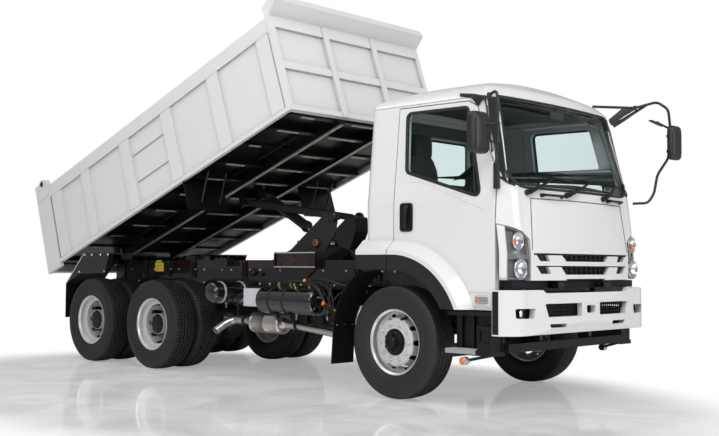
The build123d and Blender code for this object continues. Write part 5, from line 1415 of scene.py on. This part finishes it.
domes, bands, clips = Shape(), Shape(), Shape()
small_x, small_z = -2.840, 0.900                    # the short tank lies across the truck
domes.turn([(0.1182, 0.0), (0.117, 0.012), (0.108, 0.028), (0.085, 0.043), (0.050, 0.052), (0.0, 0.055)],
           at(small_x, -1.000, small_z), (0, -1, 0), 56)
domes.turn([(0.0, 0.0), (0.1182, 0.0), (0.117, 0.012), (0.100, 0.030), (0.060, 0.045), (0.0, 0.050)],
           at(small_x, -0.520, small_z), (0, 1, 0), 56)
for y in (-0.90, -0.62):
    bands.turn(band(0.1185, 0.1225, 0.012), at(small_x, y, small_z), (0, 1, 0), 56)
big_y, big_z = -0.870, 0.835                        # the long tank lies along it
domes.turn([(0.1392, 0.0), (0.1395, 0.016), (0.132, 0.030), (0.105, 0.044), (0.060, 0.054), (0.0, 0.058)],
           at(-1.300, big_y, big_z), (1, 0, 0), 64)
domes.turn([(0.1392, 0.0), (0.137, 0.014), (0.120, 0.032), (0.075, 0.048), (0.0, 0.056)],
           at(-2.080, big_y, big_z), (-1, 0, 0), 64)
domes.turn([(0.1395, -0.006), (0.1412, -0.003), (0.1412, 0.003), (0.1395, 0.006)],
           at(-1.330, big_y, big_z), (1, 0, 0), 64)
domes.done("tank_ends", tank_black, "chassis", "tank_black", smooth=60)
for x in (-1.910, -1.690):
    clips.turn(band(0.1395, 0.1440, 0.016), at(x, big_y, big_z), (1, 0, 0), 64)
    clips.box(at(x - 0.06, -0.93, 0.676), at(x + 0.07, -0.82, 0.700))
    for nut_x in (x - 0.03, x + 0.04):
        clips.nut(at(nut_x, -0.93, 0.690), (0, -1, 0), 0.020, 0.014)
clips.done("tank_straps", hose_black, "chassis", "trim_black", bevel=0.001)
bands.done("tank_bands", zinc_white, "chassis", "stainless", bevel=0.0008)
valves = Shape()
for x, y, z, way in ((-1.262, -0.905, 0.880, (1, 0, 0)), (-1.262, -0.835, 0.800, (1, 0, 0)),
                     (-1.55, -0.93, 0.965, (0, -0.4, 1)), (-1.83, -0.90, 0.972, (0, -0.2, 1)),
                     (-1.40, -0.88, 0.974, (0, 0, 1)), (-1.70, -0.86, 0.974, (0, 0, 1)),
                     (-2.84, -0.80, 0.785, (0, 0, -1)), (-1.60, -0.87, 0.696, (0, 0, -1))):
    valves.nut(at(x, y, z), way, 0.024, 0.022)
    valves.turn([(0.010, 0.0), (0.010, 0.040), (0.014, 0.042), (0.014, 0.056), (0.0, 0.058)], at(x, y, z),
                way, 16)
valves.done("tank_valves", brass, "chassis", "stainless", bevel=0.0006)
print("two tanks with their valves")

# %% [markdown]
# A fan of hoses runs from the long tank's valves to the cab.  Each is a NURBS curve through a few
# corner points, which bends as loosely as rubber does, and its points then carry a round tube.

# %% Air hoses
# corner points from the top of the tank towards the cab
bundle = [
    [(-1.70, -0.86, 1.00), (-1.66, -0.87, 1.045), (-1.45, -0.90, 1.035), (-1.25, -0.93, 0.99),
     (-1.15, -0.92, 0.86), (-1.12, -0.90, 0.74)],
    [(-1.83, -0.91, 1.00), (-1.75, -0.90, 1.040), (-1.52, -0.86, 1.050), (-1.20, -0.84, 1.02),
     (-1.08, -0.86, 0.90), (-1.05, -0.88, 0.72), (-1.06, -0.84, 0.63)],
    [(-1.40, -0.88, 1.00), (-1.36, -0.89, 1.030), (-1.22, -0.95, 1.01), (-1.11, -0.98, 0.90),
     (-1.07, -0.95, 0.79), (-1.02, -0.88, 0.76)],
    [(-1.21, -0.905, 0.880), (-1.16, -0.91, 0.885), (-1.10, -0.96, 0.84), (-1.09, -0.95, 0.70),
     (-1.14, -0.86, 0.63), (-1.22, -0.78, 0.66)],
    [(-1.21, -0.835, 0.800), (-1.15, -0.84, 0.800), (-1.06, -0.90, 0.83), (-1.00, -0.86, 0.92),
     (-1.00, -0.70, 0.99), (-1.02, -0.52, 1.00)],
    [(-1.30, -0.72, 1.02), (-1.18, -0.80, 1.03), (-1.04, -0.92, 0.98), (-1.03, -0.97, 0.84),
     (-1.08, -0.93, 0.68)],
    [(-1.60, -0.78, 1.03), (-1.40, -0.82, 1.06), (-1.16, -0.86, 1.06), (-0.98, -0.80, 1.00),
     (-0.92, -0.66, 0.98)],
    [(-1.95, -0.60, 1.00), (-1.70, -0.74, 1.03), (-1.45, -0.80, 1.02), (-1.28, -0.80, 1.00),
     (-1.16, -0.82, 0.93), (-1.12, -0.86, 0.80)],
]


def hose_path(line):
    """A loose curve through corner points, as a list of places."""
    curve = bpy.data.curves.new("hose_line", "CURVE")
    curve.dimensions = "3D"
    spline = curve.splines.new("NURBS")
    spline.points.add(len(line) - 1)
    for point, place in zip(spline.points, line):
        point.co = (*at(*place), 1)
    spline.order_u = 3
    spline.use_endpoint_u = True
    spline.resolution_u = 6
    holder = bpy.data.objects.new("hose_line", curve)
    mesh = bpy.data.meshes.new_from_object(holder)
    path = [v.co.copy() for v in mesh.vertices]
    bpy.data.objects.remove(holder)
    return path


hoses, ends, tips = Shape(), Shape(), Shape()
for i, line in enumerate(bundle):
    path, thick = hose_path(line), 0.0085 if i % 3 else 0.011
    hoses.tube(path, thick, 10)
    for end, inner in ((path[0], path[2]), (path[-1], path[-3])):
        way = (end - inner).normalized()
        ends.turn([(0.0, -0.020), (thick + 0.004, -0.020), (thick + 0.005, 0.0), (thick + 0.005, 0.016),
                   (0.0, 0.018)], end, way, 14)
for low, high, place, way in ((0.018, 0.020, (-1.10, -0.965, 0.83), (0, -1, 0.2)),
                              (0.016, 0.016, (-1.45, -0.90, 1.045), (0.2, -1, 0.6))):
    tips.turn([(0.0, -0.012), (low, -0.010), (high, 0.012), (0.0, 0.014)], at(*place), way, 16)
hoses.done("air_hoses", hose_black, "chassis", "trim_black", smooth=60)
ends.done("hose_ends", brass, "chassis", "stainless")
tips.done("hose_caps", amber, "chassis", "lamp")
print(len(bundle), "hoses")

# %% Side box and valve blocks
box_skin = surface("box_skin", (0.74, 0.75, 0.77), 0.38, metal=0.35, grain=60, vary=0.06, depth=0.0002,
                   edge=0.003)
ribs = Shape()
for x0, x1 in ((-2.412, -2.272), (-2.263, -2.123)):
    ribs.box(at(x0, -0.9035, 0.768), at(x1, -0.899, 0.944))
ribs.done("side_box_panels", box_skin, "chassis", "aluminium", bevel=0.004)
finish("side_box", box_skin)
blocks = Shape()
for low, high in (((-1.12, -0.86, 0.62), (-1.02, -0.76, 0.72)), ((-1.06, -0.70, 0.80), (-0.94, -0.52, 0.94)),
                  ((-2.42, -0.80, 0.952), (-2.00, -0.45, 0.975))):
    blocks.box(at(*low), at(*high))
blocks.tube(all_at([(-1.00, -0.80, 0.66), (-1.00, -0.50, 0.66), (-1.00, -0.44, 0.96)]), 0.020, 12)
blocks.done("valve_blocks", trim_black, "chassis", "trim_black", bevel=0.006)
print("side box and valve blocks")

# %% [markdown]
# The stainless silencer has rolled seams and end caps; clamps, a hanger and a bent tail pipe
# finish the line.

# %% Exhaust details
clamp_steel = surface("clamp_steel", (0.05, 0.05, 0.055), 0.4, metal=0.8, grain=300, vary=0.3, depth=0.0002)
line, clamps = Shape(), Shape()
can = [(0.0, -0.262), (0.046, -0.262), (0.050, -0.250), (0.100, -0.242), (0.110, -0.232), (0.1135, -0.222),
       (0.1135, -0.206), (0.1105, -0.203), (0.1105, 0.0), (0.112, 0.003), (0.112, 0.008), (0.1105, 0.011),
       (0.1105, 0.203), (0.1135, 0.206), (0.1135, 0.222), (0.110, 0.232), (0.100, 0.242), (0.060, 0.250),
       (0.052, 0.275), (0.046, 0.285), (0.0, 0.285)]
line.turn(can, at(-2.215, -0.700, 0.578), (1, 0, 0), 72)
front_pipe = [(-1.970, -0.700, 0.575), (-1.760, -0.700, 0.569), (-1.400, -0.700, 0.535),
              (-1.100, -0.700, 0.505), (-0.970, -0.640, 0.560), (-0.970, -0.550, 0.800)]
line.tube(smooth_path(all_at(front_pipe)), 0.044, 24)
line.tube(all_at([(-2.440, -0.700, 0.583), (-2.960, -0.700, 0.590)]), 0.042, 24)
tail_pipe = [(-2.560, -0.705, 0.590), (-2.790, -0.712, 0.592), (-2.835, -0.800, 0.560),
             (-2.860, -0.930, 0.472)]
tail = smooth_path(all_at(tail_pipe), 10)
line.tube(tail, 0.046, 28)
line.turn([(0.046, -0.004), (0.0475, 0.0), (0.046, 0.003), (0.040, 0.003), (0.038, -0.06), (0.0, -0.06)],
          tail[-1], (tail[-1] - tail[-3]).normalized(), 32)
for x, z, y in ((-1.762, 0.569, -0.700), (-2.608, 0.588, -0.705)):
    clamps.turn(band(0.0455, 0.052, 0.014), at(x, y, z), (1, 0, 0), 40)
    clamps.tube([at(x, y - 0.058, z - 0.02), at(x, y - 0.060, z + 0.06)], 0.007, 8)
    clamps.nut(at(x, y - 0.058, z - 0.045), (0, 0, -1), 0.016, 0.012)
clamps.tube(all_at([(-2.700, -0.745, 0.62), (-2.700, -0.745, 0.86), (-2.700, -0.60, 0.955)]), 0.009, 8)
clamps.tube(all_at([(-2.95, -0.745, 0.77), (-2.55, -0.745, 0.78)]), 0.008, 8)
exhaust_line = line.done("exhaust_line", stainless, "chassis", "stainless", smooth=40)
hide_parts("exhaust")
clamps.done("exhaust_clamps", clamp_steel, "chassis", "trim_black", bevel=0.0006)
print("silencer, pipes and clamps")

# %% [markdown]
# Guards over the rear wheels carry bolts along their top and a bright folded edge; the front
# ones have a stiff flap.  Steps are pierced aluminium with a small amber marker below.

# %% Rear and front guards
bolt_head = [(0.0, 0.007), (0.012, 0.006), (0.016, 0.0)]
edge_strip, dots, flap_bolts = Shape(), Shape(), Shape()
for side in (-1, 1):
    y = side * 1.1005
    edge_strip.tube([at(-5.352, y, 1.342), at(-5.768, y, 0.957)], 0.007, 8, flat=0.5, up=(0, 1, 0))
    for x in (-5.33, -5.17, -4.97, -4.80):
        dots.turn(bolt_head, at(x, y, 1.322), (0, side, 0), 20)
        dots.turn(bolt_head, at(x, side * 1.0885, 1.322), (0, -side, 0), 20)
    for x, z in ((-5.46, 1.105), (-4.875, 1.115)):
        dots.turn([(0.0, 0.006), (0.010, 0.005), (0.013, 0.0)], at(x, y, z), (0, side, 0), 20)
    for y0 in (0.66, 0.84, 1.02):
        for z in (0.900, 0.800):
            flap_bolts.nut(at(-5.781, side * y0, z), (-1, 0, 0), 0.018, 0.010)
    for y0 in (0.94, 1.05, 1.15):
        flap_bolts.nut(at(-0.735, side * y0, 0.64), (1, 0, 0.05), 0.016, 0.009)
edge_strip.done("guard_edges", zinc_white, "chassis", "frame_black")
dots.done("guard_bolts", bolt_zinc, "chassis", "frame_black")
flap_bolts.done("flap_bolts", nut_steel, "chassis", "frame_black")
print("guards bolted")

# %% Steps and side markers
pierced, pocket, marker, marker_case = Shape(), Shape(), Shape(), Shape()
for side in (-1, 1):
    for i in range(12):
        for j in range(5):
            x, y = 0.622 + 0.0262 * i, side * (1.046 + 0.024 * j)
            pierced.turn([(0.009, 0.0), (0.0085, 0.003), (0.0055, 0.003), (0.005, 0.0)], at(x, y, 0.500),
                         (0, 0, 1), 14)
    pocket.tube([at(0.957 + p.x * 0.1, side * 1.1405, 0.565 + p.y * 0.1) for p in
                 along(rounded([(0, 0), (1.0, 0), (1.0, 1.0), (0, 1.0)], 0.2), 0.2)], 0.004, 6, closed=True)
    for z in (0.575, 0.658):
        for x in (0.965, 1.048):
            pocket.nut(at(x, side * 1.1285, z), (0, side, 0), 0.010, 0.006)
    place = at(0.790, side * 1.150, 0.400)
    marker.turn([(0.0, 0.020), (0.016, 0.018), (0.026, 0.010), (0.028, 0.0)], place, (0, side, 0), 32)
    marker_case.turn([(0.034, -0.050), (0.036, -0.02), (0.036, 0.006), (0.030, 0.008), (0.028, 0.0)], place,
                     (0, side, 0), 32)
pierced.done("step_holes", aluminium, "chassis", "aluminium")
pocket.done("step_box_details", trim_black, "chassis", "trim_black")
marker.done("side_markers", amber, "chassis", "lamp", smooth=60)
marker_case.done("side_marker_cases", zinc_white, "chassis", "trim_black", smooth=60)
print("steps and markers")

# %% Rear lamps
# they sit on the underrun bar, in plain blocks of red, amber and white
rear_case, red_lens, amber_lens, clear_lens = Shape(), Shape(), Shape(), Shape()
for side in (-1, 1):
    rear_case.box(at(-5.885, side * 0.77 - 0.19, 0.555), at(-5.862, side * 0.77 + 0.19, 0.665))
    for k, shape in enumerate((amber_lens, red_lens, clear_lens)):
        y = side * (0.89 - 0.12 * k)
        shape.box(at(-5.900, y - 0.055, 0.565), at(-5.885, y + 0.055, 0.655))
red = surface("red_lens", (0.45, 0.01, 0.01), 0.2, coat=0.6, grain=300, vary=0.1, depth=0.0001)
rear_case.done("rear_lamp_cases", trim_black, "chassis", "trim_black", bevel=0.004)
red_lens.done("rear_lamps_red", red, "chassis", "lamp", bevel=0.004)
amber_lens.done("rear_lamps_amber", amber, "chassis", "lamp", bevel=0.004)
clear_lens.done("rear_lamps_clear", reflector, "chassis", "lamp", bevel=0.004)
print("rear lamps")

# %% Spring clips and the left side's tank and battery box
left = Shape()
for side in (-1, 1):
    for x in (-0.045, 0.045):
        corners = ((0.345, 0.45), (0.345, 0.640), (0.435, 0.640), (0.435, 0.45))
        left.tube([at(x, side * y, z) for y, z in corners], 0.011, 8)
    left.box(at(-0.74, side * 0.39 - 0.036, 0.688), at(0.70, side * 0.39 + 0.036, 0.697))
left.turn([(0.0, 0.030), (0.045, 0.028), (0.055, 0.018), (0.055, 0.0)], at(-1.55, 0.80, 0.940), (0, 0, 1), 36)
outline = rounded([(0.476, 0.436), (1.064, 0.436), (1.064, 0.944), (0.476, 0.944)], 0.092)
for x in (-2.40, -1.60):
    left.tube([at(x, p.x, p.y) for p in outline], 0.014, 8, closed=True, flat=0.3)
left.box(at(-1.335, 0.62, 0.895), at(-0.855, 1.065, 0.915))
for z in (0.56, 0.70, 0.84):
    left.box(at(-1.32, 1.058, z), at(-0.87, 1.066, z + 0.018))
left.done("left_tank_fittings", trim_black, "chassis", "trim_black", bevel=0.002)
print("spring clips, tank and box fittings")
